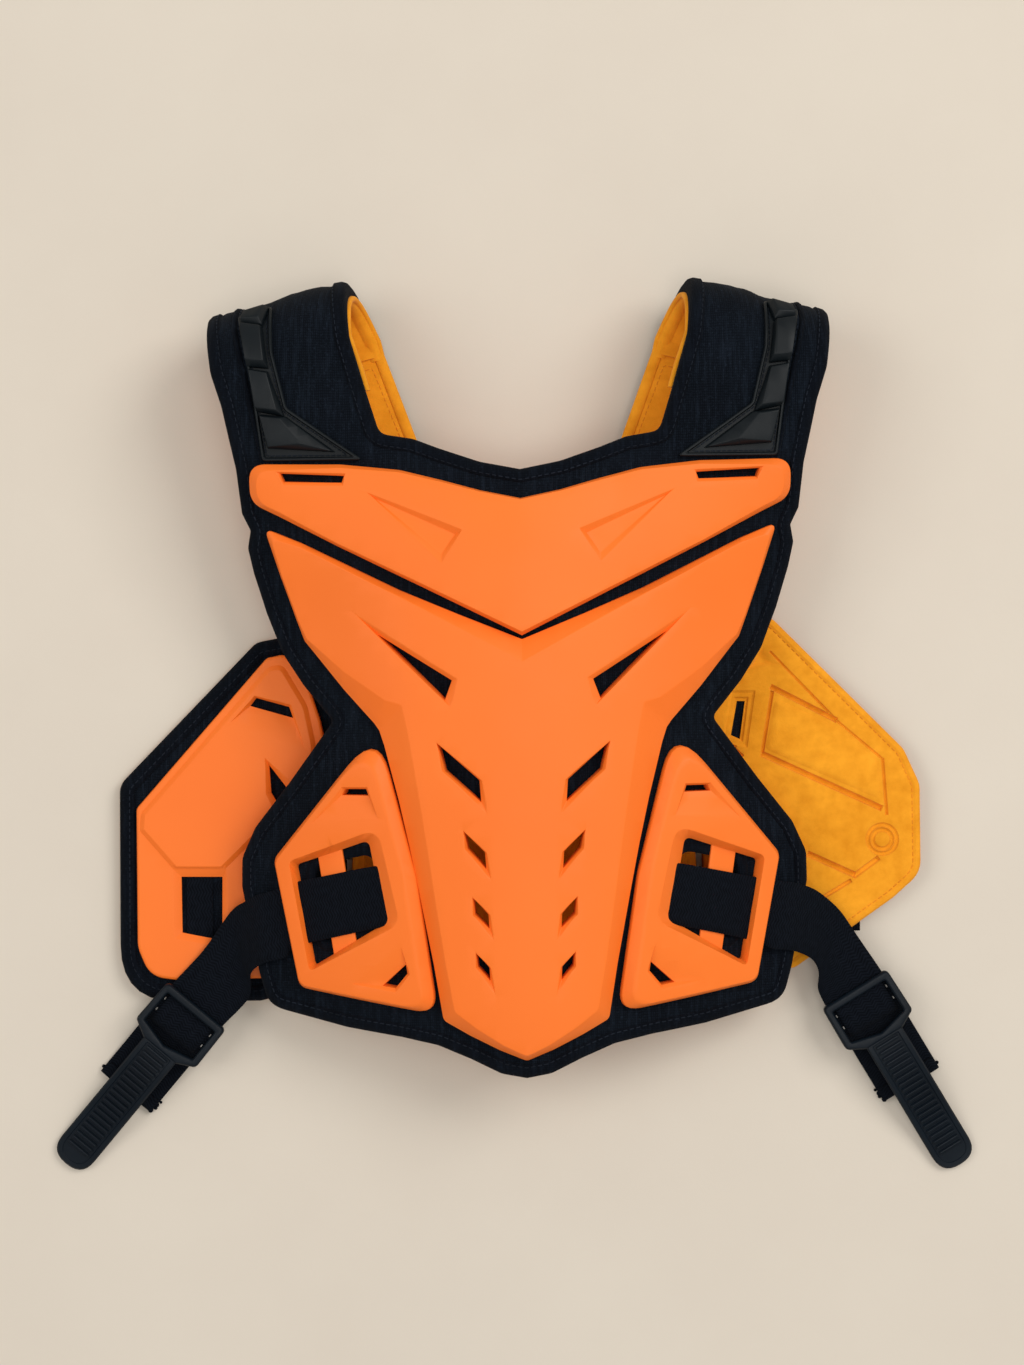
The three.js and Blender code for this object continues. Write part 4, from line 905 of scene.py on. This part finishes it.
ORANGE = satin_plastic("orange_shell", (0.94, 0.192, 0.02), (0.91, 0.174, 0.016))
NAVY = woven("navy_fabric", (0.0017, 0.0029, 0.0052), (0.0125, 0.0195, 0.0315))
PIPING = woven("navy_binding", (0.0014, 0.0023, 0.0044), (0.0085, 0.013, 0.022), 0.0008)
YELLOW = suede("yellow_lining", (0.7, 0.245, 0.008), (0.92, 0.37, 0.02))
RUBBER = moulded("black_rubber", (0.0032, 0.0054, 0.0072), (0.0054, 0.0084, 0.0108), 0.36, 0.19)
NYLON = moulded("hook_plastic", (0.0018, 0.0046, 0.0085), (0.0032, 0.0072, 0.0125), 0.34, 0.17)
WEBBING = ribbed_webbing("webbing", (0.001, 0.0016, 0.003), (0.0062, 0.0088, 0.0145))
THREAD = moulded("thread", (0.005, 0.0075, 0.012), (0.013, 0.018, 0.028), 0.6, 0.1)
PALE_THREAD = moulded("pale_thread", (0.2, 0.195, 0.185), (0.34, 0.33, 0.31), 0.7)
GOLD_THREAD = moulded("gold_thread", (0.60, 0.20, 0.012), (0.85, 0.32, 0.022), 0.7)


def finished(piece, material, slot, *nodes, pad=None):
    """Gives a piece its finish and its place in the part, and hides the nodes that it stands for."""
    piece.data.materials.clear()
    piece.data.materials.append(material)
    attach(piece, "root")
    if nodes:
        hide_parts(*nodes)
    return piece


# Front panel and straps
def strap_edge(away, across):
    place = BEND_START + BEND_AWAY * away + BEND_ALONG * across
    return {"x": place.x, "y": place.y, "round": 0}


def strap_line(start, rows):
    """A line on a strap: some points in millimetres, then places away from the bend and across."""
    places = [strap_edge(away, across) for away, across in rows]
    return start + [(place["x"], place["y"]) for place in places]


STRAP_LINE = strap_line(
    [(139.5, 122), (144.6, 146), (149.4, 170)],
    [(22, 58.6), (60, 53), (BEND_ARC, 47)],
)
STRAP_INNER_LINE = strap_line(
    [(84, 160), (87.5, 172)],
    [(2, 0.5), (30, -3.6), (60, -8), (BEND_ARC, -13.6), (BEND_ARC + STRAP_END, -13.3)],
)


def cover_half(end=STRAP_END):
    outer = STRAP_WIDTH - BEND_SHIFT
    strap = [
        {"x": 84.6, "y": 160, "round": 12},
        {**strap_edge(0, 0), "round": 30},
        strap_edge(BEND_ARC, -BEND_SHIFT),
        strap_edge(BEND_ARC + end, -BEND_SHIFT),
        strap_edge(BEND_ARC + end, outer),
        strap_edge(BEND_ARC, outer),
        {**strap_edge(0, STRAP_WIDTH - 3), "round": 30},
    ]
    return NECK + strap + FLANK


COVER = whole(cover_half())
PAD_CUTS = [rib_side(side, PAD_WINDOW) for side in SIDES.values()]
PAD_CUTS += [on_side(side, VENT_RELIEF) for side in SIDES.values()]


def panel(name, rows, low, high, cuts=(), inset=0):
    points = loop(rows, inset)
    piece = loft(name, [ring(points, low), ring(points, high)])
    for hole in cuts:
        hole_points = loop(hole, -inset)
        cut(piece, loft("cutter", [ring(hole_points, low - 5), ring(hole_points, high + 5)]))
    return piece


def crumple(x, y):
    """Soft waves of the padded fabric, in millimetres."""
    place = Vector((x, y, 0))
    broad = noise.noise(place / 38) * 0.9
    fine = noise.noise(Vector((x / 7, y / 26, 3))) * 0.35
    return broad + fine


def strap_share(x, y):
    """Place across a strap, 0 at its inner edge and 1 at its outer edge, and how far into the strap."""
    spot = Vector((abs(x), y)) - BEND_START
    away = spot.dot(BEND_AWAY)
    drift = smooth(away / BEND_ARC)
    inner = mix(0, -BEND_SHIFT, drift)
    outer = mix(STRAP_WIDTH - 3, STRAP_WIDTH - BEND_SHIFT, drift)
    return (spot.dot(BEND_ALONG) - inner) / (outer - inner), smooth((y - 128) / 30)


CUSHION = {"from": 0.1, "to": 0.52, "swell": 1.9}
OUTER_BAND = {"from": 0.77, "to": 0.92, "swell": 1.1}


def soft_lay(x, y, lift):
    share, depth = strap_share(x, y)
    swell = 0
    if lift > -PAD_THICKNESS / 2 and 0 < share < 1 and depth > 0:
        for band in (CUSHION, OUTER_BAND):
            spot = (share - band["from"]) / (band["to"] - band["from"])
            if 0 < spot < 1:
                swell = band["swell"] * math.sin(math.pi * spot) ** 0.7 * depth
    wrinkle = noise.noise(Vector((x / 5, y / 22, 7))) * 0.7 * depth
    return lay(x, y, lift + crumple(x, y) * 0.5 + swell + wrinkle)


ROLL = [
    (7, 0.0), (6.4, 0.9), (4.6, 1.5), (2, 1.3), (0, 0.1), (-0.9, -2), (-1.1, -5),
    (-0.8, -7.4), (0.4, -8.6), (3, -8.8), (7.2, -6),
]
LINING_EDGE_ROLL = [
    (6.6, -11.2), (5.4, -12), (3.2, -12.7), (1, -12.3),
    (-0.6, -10.8), (-0.8, -9.2), (0.6, -8.6), (6.4, -9),
]
WINDOW_ROLL = [
    (-5, 0.0), (-4.4, 0.7), (-2.4, 1.0), (-0.6, 0.6), (0.4, -0.8), (0.4, -9.5), (-2, -11.4), (-5, -9),
]


def binding(name, rows, profile=ROLL, shape=lay, cut_away=None):
    """A rolled edge that is swept round an outline: inset and lift for each of its lines."""
    rings = [ring(loop(rows, inset, step=SWEEP_STEP), lift) for inset, lift in profile]
    rings.append(rings[0])
    piece = loft(name, rings, capped=False)
    if cut_away is not None:
        open_ends(piece, cut_away)
    return settle(piece, shape, 60)


def open_ends(piece, away):
    """Cuts a binding off past a line across both straps, where another piece goes on."""
    edit(piece)
    for side in SIDES.values():
        start = Vector((side * BEND_START.x, BEND_START.y, 0))
        normal = Vector((side * BEND_AWAY.x, BEND_AWAY.y, 0))
        bpy.ops.mesh.select_all(action="SELECT")
        place = start + normal * away
        bpy.ops.mesh.bisect(plane_co=place, plane_no=normal, use_fill=True, clear_outer=True)
    leave()
    return piece


def front_cover():
    piece = panel("front_cover", COVER, -PAD_THICKNESS, 0, PAD_CUTS, inset=1)
    score(piece, FABRIC_GRID, folds=True)
    settle(piece, soft_lay, 50)
    nodes = ("front_pad", "shoulder_strap_left", "shoulder_strap_right")
    finished(piece, NAVY, "navy_fabric", *nodes, pad=0.5)


def lining_lay(x, y, lift):
    """The lining, puckered inside the bend and doubled where it ends."""
    share, depth = strap_share(x, y)
    away = beyond_bend(x, y)
    if lift < LINING_TOP - 1 and depth > 0:
        lift -= 1.3 * smooth((away - BEND_ARC) / 3)
        lift += noise.noise(Vector((share * 5, away / 14, 2))) * 1.6 * smooth(away / 20)
        lift += 1.2 * math.exp(-((share - 0.3) / 0.02) ** 2) * smooth(away / 20)
    return lay(x, y, lift)


def front_lining():
    low = LINING_TOP - LINING_THICKNESS
    rows = whole(cover_half(STRAP_END + 3))
    piece = panel("front_lining_cloth", rows, low, LINING_TOP, PAD_CUTS, inset=2)
    score(piece, 6, folds=True)
    settle(piece, lining_lay, 50)
    nodes = ("front_lining", "strap_lining_left", "strap_lining_right")
    finished(piece, YELLOW, "yellow_lining", *nodes, pad=0.3)


def front_bindings():
    rows = whole(cover_half(STRAP_END + 14))
    edge = binding("front_binding", rows, cut_away=BEND_ARC + STRAP_END)
    finished(edge, PIPING, "navy_fabric")
    turned = binding("front_lining_edge", rows, LINING_EDGE_ROLL, cut_away=BEND_ARC + STRAP_END + 3)
    finished(turned, YELLOW, "yellow_lining")
    for name, side in SIDES.items():
        window = binding(f"window_binding_{name}", rib_side(side, PAD_WINDOW), WINDOW_ROLL)
        finished(window, PIPING, "navy_fabric")
        line = [(side * x, y) for x, y in STRAP_LINE]
        cord = piping(f"strap_piping_{name}", line, tube(1.5, 0.4))
        finished(cord, PIPING, "navy_fabric")
        row = stitches(f"strap_seam_{name}", [(x - side * 2.6, y) for x, y in line], 0.5, closed=False)
        finished(row, THREAD, "navy_fabric")
        inner_line = [(side * x, y) for x, y in STRAP_INNER_LINE]
        rim = piping(f"strap_rim_{name}", inner_line, tube(1.8, -9.4, side * 1.1))
        finished(rim, YELLOW, "yellow_lining")
    seam = stitches("front_seam", loop(COVER, 5.6, step=SWEEP_STEP), 1.35)
    finished(seam, THREAD, "navy_fabric")


# Plates
def plate_body(name, rows, rise, edge=PLATE_EDGE):
    outline = loop(rows, step=12)
    crease = loop(rows, keys=("crease_x", "crease_y"), step=12)
    return loft(name, [
        ring(outline, PLATE_LOW),
        ring(outline, PLATE_LOW + edge),
        ring(crease, PLATE_LOW + edge + rise),
    ])


def thinner_wing(x, z):
    """The lower plate's wings are thinner than its middle."""
    share = mix(1, 0.5, smooth((abs(x) - 60) / 60))
    return PLATE_LOW + (z - PLATE_LOW) * share


def lower_plate():
    top = PLATE_LOW + PLATE_EDGE + LOWER_RISE
    piece = plate_body("lower_plate", whole(LOWER_PLATE), LOWER_RISE)
    for hole, rim in VENTS:
        for side in SIDES.values():
            cut(piece, well(on_side(side, hole), on_side(side, rim), top, 2.2))
    soften(piece, 0.9, 14)
    score(piece)
    settle(piece, lambda x, y, z: lay(x, y, thinner_wing(x, z)), 35)
    finished(piece, ORANGE, "orange_shell", "chest_plate_lower")


def ridged(x, y, z):
    ridge = max(0, 1 - abs(x) / RIDGE_HALF_WIDTH) * RIDGE_RISE
    share = (z - PLATE_LOW) / (PLATE_EDGE + UPPER_RISE)
    return lay(x, y, z + ridge * share)


def upper_plate():
    top = PLATE_LOW + PLATE_EDGE + UPPER_RISE
    piece = plate_body("upper_plate", whole(UPPER_PLATE), UPPER_RISE)
    for side in SIDES.values():
        hole, rim = UPPER_SLOT
        cut(piece, well(on_side(side, hole), on_side(side, rim), top, 1.6))
        foot = [(side * row["floor_x"], row["floor_y"], top - row["depth"]) for row in UPPER_POCKET]
        mouth = [(side * row["x"], row["y"], top + 0.1) for row in UPPER_POCKET]
        lifted = [(x, y, top + 4) for x, y, _ in mouth]
        cut(piece, loft("pocket", [foot, mouth, lifted]))
    soften(piece, 0.8, 20)
    edit(piece)
    for line in (-RIDGE_HALF_WIDTH, 0, RIDGE_HALF_WIDTH):
        bpy.ops.mesh.select_all(action="SELECT")
        bpy.ops.mesh.bisect(plane_co=(line, 0, 0), plane_no=(1, 0, 0))
    leave()
    score(piece)
    settle(piece, ridged, 35)
    finished(piece, ORANGE, "orange_shell", "chest_plate_upper")


# Section of a rib plate's edge: share of the skirt and share of the rise
SHOULDER = [(0, 0), (0.05, 0.26), (0.12, 0.36), (0.62, 0.9), (0.76, 0.98), (1, 1)]


def rib_plate(name, side):
    rows = rib_side(side, RIB_PLATE)
    top = PLATE_LOW + PLATE_EDGE + RIB_RISE
    wall_top = PLATE_LOW + PLATE_EDGE * 0.7
    rings = [ring(loop(rows), PLATE_LOW)]
    rings += [ring(loop(rows, share), mix(wall_top, top, rise)) for share, rise in SHOULDER]
    piece = loft(f"rib_frame_{name}", rings)
    opening = loop(rib_side(side, RIB_OPENING))
    rim = loop(rib_side(side, RIB_RIM))
    grow = [(mix(o[0], r[0], 1.2), mix(o[1], r[1], 1.2)) for o, r in zip(opening, rim)]
    cut(piece, loft("window", [ring(opening, -20), ring(opening, 2.4), ring(grow, top + 1)]))
    for hole, slope in RIB_SLOTS:
        cut(piece, well(rib_side(side, hole), rib_side(side, slope), top, 2))
    soften(piece, 0.7, 26)
    bar = corners(rib_side(side, BAR))
    beam = loft("bar", [ring(bar, PLATE_LOW), ring(bar, PLATE_LOW + 1.9)])
    soften(beam, 0.6, 30)
    piece = join(f"rib_frame_{name}", [piece, beam])
    score(piece)
    settle(piece, lay, 32)
    finished(piece, ORANGE, "orange_shell", f"rib_plate_{name}")


# Rubber guard on a strap
def shoulder_guard(name, side):
    rows = on_side(side, GUARD_BASE)
    rim = [(0, 0.4), (0, 2.6), (0.5, 3.2), (1.3, 3.2), (1.8, 2.6), (2, 1.2)]
    parts = [stacked("base", rows, rim)]
    for block in GUARD_BLOCKS:
        foot = [(side * row["x"], row["y"]) for row in block]
        top = [(side * row["top_x"], row["top_y"]) for row in block]
        middle = [(mix(f[0], t[0], 0.15), mix(f[1], t[1], 0.15)) for f, t in zip(foot, top)]
        part = loft("block", [ring(foot, 0.8), ring(middle, 3.6), ring(top, 6.6)])
        parts.append(soften(part, 0.45, 15, 2))
    piece = join(f"rubber_guard_{name}", parts)
    score(piece, 5, folds=True)
    settle(piece, lay, 32)
    finished(piece, RUBBER, "black_rubber", f"shoulder_guard_{name}")
    groove = stitches(f"guard_stitches_{name}", loop(rows, 2.7, step=SWEEP_STEP), 1.5, 3)
    finished(groove, THREAD, "black_rubber")


front_cover()
front_lining()
front_bindings()
lower_plate()
upper_plate()
for side_name, side_sign in SIDES.items():
    rib_plate(side_name, side_sign)
    shoulder_guard(side_name, side_sign)


# Side straps and hooks
def on_hook(hook, along, across, z):
    cos, sin = math.cos(hook["turn"]), math.sin(hook["turn"])
    return Vector((hook["x"] + along * cos - across * sin, hook["y"] + along * sin + across * cos, z))


def side_strap(name, side):
    hook = HOOKS[name]
    sections = [
        (lay(side * row["x"], row["high"], row["lift"]), lay(side * row["x"], row["low"], row["lift"]))
        for row in STRAP_ON_PAD
    ]
    for row in STRAP_FREE[name]:
        sections.append((Vector((*row["upper"], row["z"])), Vector((*row["lower"], row["z"]))))

    def at_hook(along, across, z):
        return on_hook(hook, along, across, z)

    def across_hook(rows, width):
        half = side * width / 2
        return [tuple(at_hook(row["along"], edge, row["z"]) for edge in (half, -half)) for row in rows]
    strap = ribbon(f"strap_webbing_{name}", sections + across_hook(STRAP_TAIL, WEB_WIDTH))
    finished(strap, WEBBING, "webbing", f"side_strap_{name}")
    turned = ribbon(f"strap_turn_{name}", across_hook(STRAP_LOOP, STRAP_LOOP_WIDTH))
    finished(turned, WEBBING, "webbing")
    end = ribbon(f"strap_end_{name}", across_hook(STRAP_FOLD, STRAP_FOLD_WIDTH))
    finished(end, WEBBING, "webbing")
    for tuft, (along, across, size) in enumerate(FRAYS):
        bpy.ops.object.select_all(action="DESELECT")
        place = (along, side * across, STRAP_FOLD[-1]["z"])
        bpy.ops.mesh.primitive_uv_sphere_add(segments=12, ring_count=8, radius=size, location=place)
        tuft_piece = bpy.context.object
        tuft_piece.name = tuft_piece.data.name = f"strap_fray_{name}_{tuft + 1}"
        bpy.ops.object.transform_apply(location=True)
        settle(tuft_piece, at_hook, 60)
        finished(tuft_piece, WEBBING, "webbing")
    for row, across in enumerate(STRAP_STITCH_ROWS):
        line = [(4, across), (19, across)]
        row_name = f"strap_stitches_{name}_{row + 1}"
        dots = stitches(row_name, line, 16, 5.2, False, at_hook, (1.7, 0.7, 0.8))
        finished(dots, PALE_THREAD, "webbing")


def hook(name):
    plan = HOOKS[name]
    ring_rim = [(0, HOOK_LOW), (0, HOOK_HIGH - 1.2), (1.1, HOOK_HIGH)]
    outer = stacked(f"ring_hook_{name}", HOOK_RING, ring_rim)
    opening_rim = [(0, 0), (0, HOOK_HIGH - 1), (-1.4, HOOK_HIGH + 0.6)]
    cut(outer, stacked("opening", HOOK_OPENING, opening_rim))
    soften(outer, 0.25, 30, 2)
    tab_rim = [(0, HOOK_LOW), (0, TAB_TOP - 0.9), (0.9, TAB_TOP), (3, TAB_TOP), (3.5, TAB_TOP - 0.5)]
    tab = stacked("tab", HOOK_TAB, tab_rim)
    rib_rim = [(0, TAB_TOP - 1.2), (0, TAB_TOP + 0.6), (0.3, TAB_TOP + 1), (0.6, TAB_TOP + 1.1)]
    rib = stacked("rib", HOOK_RIB, rib_rim)
    modify(rib, "ARRAY", count=HOOK_RIBS, use_relative_offset=False, use_constant_offset=True,
           constant_offset_displace=(HOOK_RIB_PITCH, 0, 0))
    bar_points = corners(HOOK_BAR)
    bar = loft("bar", [ring(bar_points, HOOK_BAR_LOW), ring(bar_points, HOOK_BAR_HIGH)])
    soften(bar, 0.8, 30, 2)
    piece = join(f"ring_hook_{name}", [outer, tab, rib, bar])
    score(piece)

    def onto(x, y, z):
        down = smooth((x - HOOK_TIP) / (TAB_END - HOOK_TIP))
        return on_hook(plan, x, y, z - down * (HOOK_LOW - TAB_FOOT))
    settle(piece, onto, 35)
    finished(piece, NYLON, "hook_plastic", f"strap_hook_{name}")


# Side guards
def side_roll(low, high):
    """The profile of a bound edge between two heights."""
    middle = (low + high) / 2
    return [
        (8.4, high), (7.6, high + 0.8), (5.4, high + 1.2), (2.8, high + 0.8), (0.8, high - 0.6),
        (-0.4, middle + 0.8), (-0.4, middle - 1.6), (0.8, low + 0.8), (3, low), (8.4, low + 0.4),
    ]


def padded_layer(name, rows, layer, cloth, node, fill, step=6):
    """A layer with rounded edges between two heights, in a cloth: its material, and its slot, which is
    not used.
    """
    low, high = layer
    piece = stacked(name, rows, [(1, low), (0.3, low + 0.6), (0.3, high - 0.6), (1, high)])
    score(piece, step)
    settle(piece, flat, 50)
    return finished(piece, *cloth, node, pad=fill)


NAVY_CLOTH = (NAVY, "navy_fabric")
YELLOW_CLOTH = (YELLOW, "yellow_lining")


def left_guard():
    lining_name = "left_guard_lining_cloth"
    padded_layer(lining_name, LEFT_PAD, LEFT_LINING_LAYER, YELLOW_CLOTH, "side_guard_left_lining", 0.2)
    pad_name = "left_guard_cushion"
    padded_layer(pad_name, LEFT_PAD, LEFT_CUSHION_LAYER, NAVY_CLOTH, "side_guard_left_pad", 0.4)
    edge = binding("left_guard_binding", LEFT_PAD, side_roll(2.4, 9.2), flat)
    finished(edge, PIPING, "navy_fabric")
    seam = stitches("left_guard_seam", loop(LEFT_PAD, 5.6, step=SWEEP_STEP), 10.3, shape=flat)
    finished(seam, THREAD, "navy_fabric")
    rim = [(0, LEFT_SHELL_LOW), (0, 11), (0.5, 12.1), (1.6, LEFT_SHELL_TOP - 0.1)]
    piece = stacked("left_guard_shell", LEFT_SHELL, rim)
    raised_rim = [(-1.6, 12), (-1.2, LEFT_SHELL_TOP), (1.4, LEFT_RAISED_TOP)]
    fuse(piece, stacked("raised", LEFT_RAISED, raised_rim))
    cut(piece, well(LEFT_WINDOW, LEFT_WINDOW_RIM, LEFT_SHELL_TOP, 1.9))
    for hole, brim in LEFT_SLOTS:
        cut(piece, well(hole, brim, LEFT_RAISED_TOP, 2.4))
    soften(piece, 0.6, 18)
    score(piece)
    settle(piece, flat, 35)
    finished(piece, ORANGE, "orange_shell", "side_guard_left_shell")


def shell_rim(inset):
    """Inset and height of the levels of a shell that lies on the floor."""
    return [(inset + 1, 0), (inset, 1), (inset, SHELL_THICKNESS - 1), (inset + 1, SHELL_THICKNESS)]


def crease(start, end, width, depth, top):
    """A cutter for a groove with sloping sides along a line."""
    start, end = Vector(start), Vector(end)
    ahead = (end - start).normalized()
    aside = Vector((-ahead.y, ahead.x))

    def oblong(half, more, z):
        near, far = start - ahead * more, end + ahead * more
        side = aside * half
        return ring([near + side, far + side, far - side, near - side], z)
    return loft("crease", [
        oblong(width * 0.22, 0, top - depth),
        oblong(width * 0.42, 0.6, top),
        oblong(width * 0.8, 1.6, top + 2),
    ])


def right_guard():
    rows = RIGHT_GUARD
    shell = stacked("right_guard_shell", rows, shell_rim(0))
    score(shell)
    settle(shell, flat, 35)
    finished(shell, ORANGE, "orange_shell", "side_guard_right_shell")
    pad_name = "right_guard_cushion"
    padded_layer(pad_name, rows, RIGHT_CUSHION_LAYER, NAVY_CLOTH, "side_guard_right_pad", 0.4)
    top = RIGHT_LINING_TOP
    lining = stacked("right_guard_lining_cloth", rows, [
        (0.8, RIGHT_LINING_LOW), (0, RIGHT_LINING_LOW + 0.8), (0.2, top - 1.2), (1.2, top - 0.2),
        (3, top + 0.2), (4.6, top - 0.5), (6, top), (8, top),
    ])
    raised_rim = [(-1.6, top - 0.5), (-1.2, top + 0.1), (1, top + 0.9)]
    fuse(lining, stacked("raised", RIGHT_RAISED, raised_rim))
    for row in RIGHT_CREASES:
        cut(lining, crease(row["start"], row["end"], row["width"], row["depth"], top))
    for hole, rim, depth in RIGHT_STEPS:
        brim = corners(rim)
        cut(lining, loft("step", [
            ring(corners(hole), top - depth), ring(brim, top - depth + 0.8), ring(brim, top + 2),
        ]))
    slot = corners(RIGHT_SLOT)
    cut(lining, loft("slot", [ring(slot, 5), ring(slot, top + 2)]))
    inner, outer = RIGHT_ARROW
    cut(lining, loft("arrow", [ring(corners(inner), top - 1.8), ring(corners(outer), top + 0.2)]))
    for radius in RIGHT_BOSS_RINGS:
        bpy.ops.object.select_all(action="DESELECT")
        bpy.ops.mesh.primitive_torus_add(
            location=(*RIGHT_BOSS, top), major_radius=radius, minor_radius=1.3,
            major_segments=40, minor_segments=10,
        )
        cut(lining, bpy.context.object)
    soften(lining, 0.5, 24, 2)
    score(lining)
    settle(lining, flat, 45)
    finished(lining, YELLOW, "yellow_lining", "side_guard_right_lining", pad=0.3)
    seam = stitches("right_guard_seam", loop(rows, 4.6, step=SWEEP_STEP), top - 0.35, shape=flat)
    finished(seam, GOLD_THREAD, "yellow_lining")


def guard_webbing(name, side, low, reach):
    def strip(start, end, z):
        count = 5
        places = [side * mix(start, end, step / count) for step in range(count + 1)]
        return [tuple(Vector((x, y, z)) for y in GUARD_WEB) for x in places]
    piece = ribbon(f"guard_strip_{name}", strip(GUARD_WEB_START, reach, low))
    finished(piece, WEBBING, "webbing", f"guard_webbing_{name}")
    if side < 0:
        hem = ribbon("guard_strip_hem", strip(reach - 15, reach - 0.6, low + WEB_THICKNESS))
        finished(hem, WEBBING, "webbing")


# Back panel, which lies on the floor
LINING_ROLL = [
    (5.6, 15), (4.8, 15.6), (3, 15.9), (1, 15.4), (-0.7, 13.8), (-0.7, 11.8), (1, 10.8), (5.6, 11.4),
]
HORN_TUCK = 14


def longer_horn(row):
    """The horn's end, moved on under the strap so that its edges can be cut off there."""
    if row["y"] < STRAP_JOIN_Y:
        return {}
    place = Vector((row["x"], row["y"])) + BEND_AWAY * HORN_TUCK
    return {"x": place.x, "y": place.y}


def back_panel():
    rows = whole(BACK_PANEL)
    plate = stacked("back_shell", rows, shell_rim(BACK_INSET))
    score(plate, 16)
    settle(plate, flat, 35)
    finished(plate, ORANGE, "orange_shell", "back_plate")
    padded_layer("back_cushion", rows, BACK_CUSHION_LAYER, NAVY_CLOTH, "back_pad", 0.4, 10)
    longer = whole([{**row, **longer_horn(row)} for row in BACK_PANEL])
    edge = binding("back_binding", longer, side_roll(3.4, 11), flat, -HORN_GAP)
    finished(edge, PIPING, "navy_fabric")
    rim = binding("back_lining_edge", longer, LINING_ROLL, flat, -HORN_GAP)
    finished(rim, YELLOW, "yellow_lining")
    padded_layer("back_lining_sheet", rows, BACK_LINING_LAYER, YELLOW_CLOTH, "back_lining", 0.3, 10)
    seam = stitches("back_seam", loop(rows, 7, step=SWEEP_STEP), 15, shape=flat)
    finished(seam, GOLD_THREAD, "yellow_lining")


left_guard()
right_guard()
back_panel()
guard_webbing("left", -1, 7, 191.5)
guard_webbing("right", 1, 3.6, 190)
for side_name, side_sign in SIDES.items():
    side_strap(side_name, side_sign)
    hook(side_name)


# Floor, lights and camera
def floor():
    finish = Finish("pale_floor", roughness=0.85, specular=0.2)
    place = finish.place()
    cloud = finish.noise(place, 6, 5, 0.6)
    colours = [(0.3, (0.665, 0.6, 0.515)), (0.7, (0.69, 0.628, 0.54))]
    finish.set("Base Color", finish.ramp(cloud, colours))
    finish.bump(finish.noise(place, 400, 4), 0.0001, 0.4)
    bpy.ops.object.select_all(action="DESELECT")
    bpy.ops.mesh.primitive_plane_add(size=16)
    sheet = bpy.context.object
    sheet.name = "floor"
    sheet.data.materials.append(finish.material)


def soft_light(name, place, size, power, tint=(1, 0.97, 0.93)):
    data = bpy.data.lights.new(name, "AREA")
    data.shape = "RECTANGLE"
    data.size, data.size_y = size
    data.energy = power
    data.color = tint
    light = bpy.data.objects.new(name, data)
    bpy.context.collection.objects.link(light)
    light.location = place
    light.rotation_euler = (-Vector(place)).to_track_quat("-Z", "Y").to_euler()


def camera():
    data = bpy.data.cameras.new("camera")
    data.sensor_fit = "VERTICAL"
    data.sensor_height = 36
    data.lens = 69.53
    eye = bpy.data.objects.new("camera", data)
    bpy.context.collection.objects.link(eye)
    eye.location = (1.7 * MM, 28.5 * MM, 1.5)
    eye.rotation_euler = (0, 0, math.radians(-0.69))
    bpy.context.scene.camera = eye


def world():
    sky = bpy.data.worlds.new("studio")
    sky.use_nodes = True
    background = sky.node_tree.nodes["Background"]
    background.inputs["Color"].default_value = (1, 0.985, 0.96, 1)
    background.inputs["Strength"].default_value = 0.45
    bpy.context.scene.world = sky


floor()
world()
soft_light("left_light", (-2, 0.5, 2.5), (1.7, 1.7), 24)
soft_light("right_light", (1.9, 1.3, 2.5), (1.7, 1.7), 52)
soft_light("top_light", (0.2, -0.2, 2.4), (0.9, 0.9), 11)
camera()
bpy.context.scene.view_settings.view_transform = "Standard"
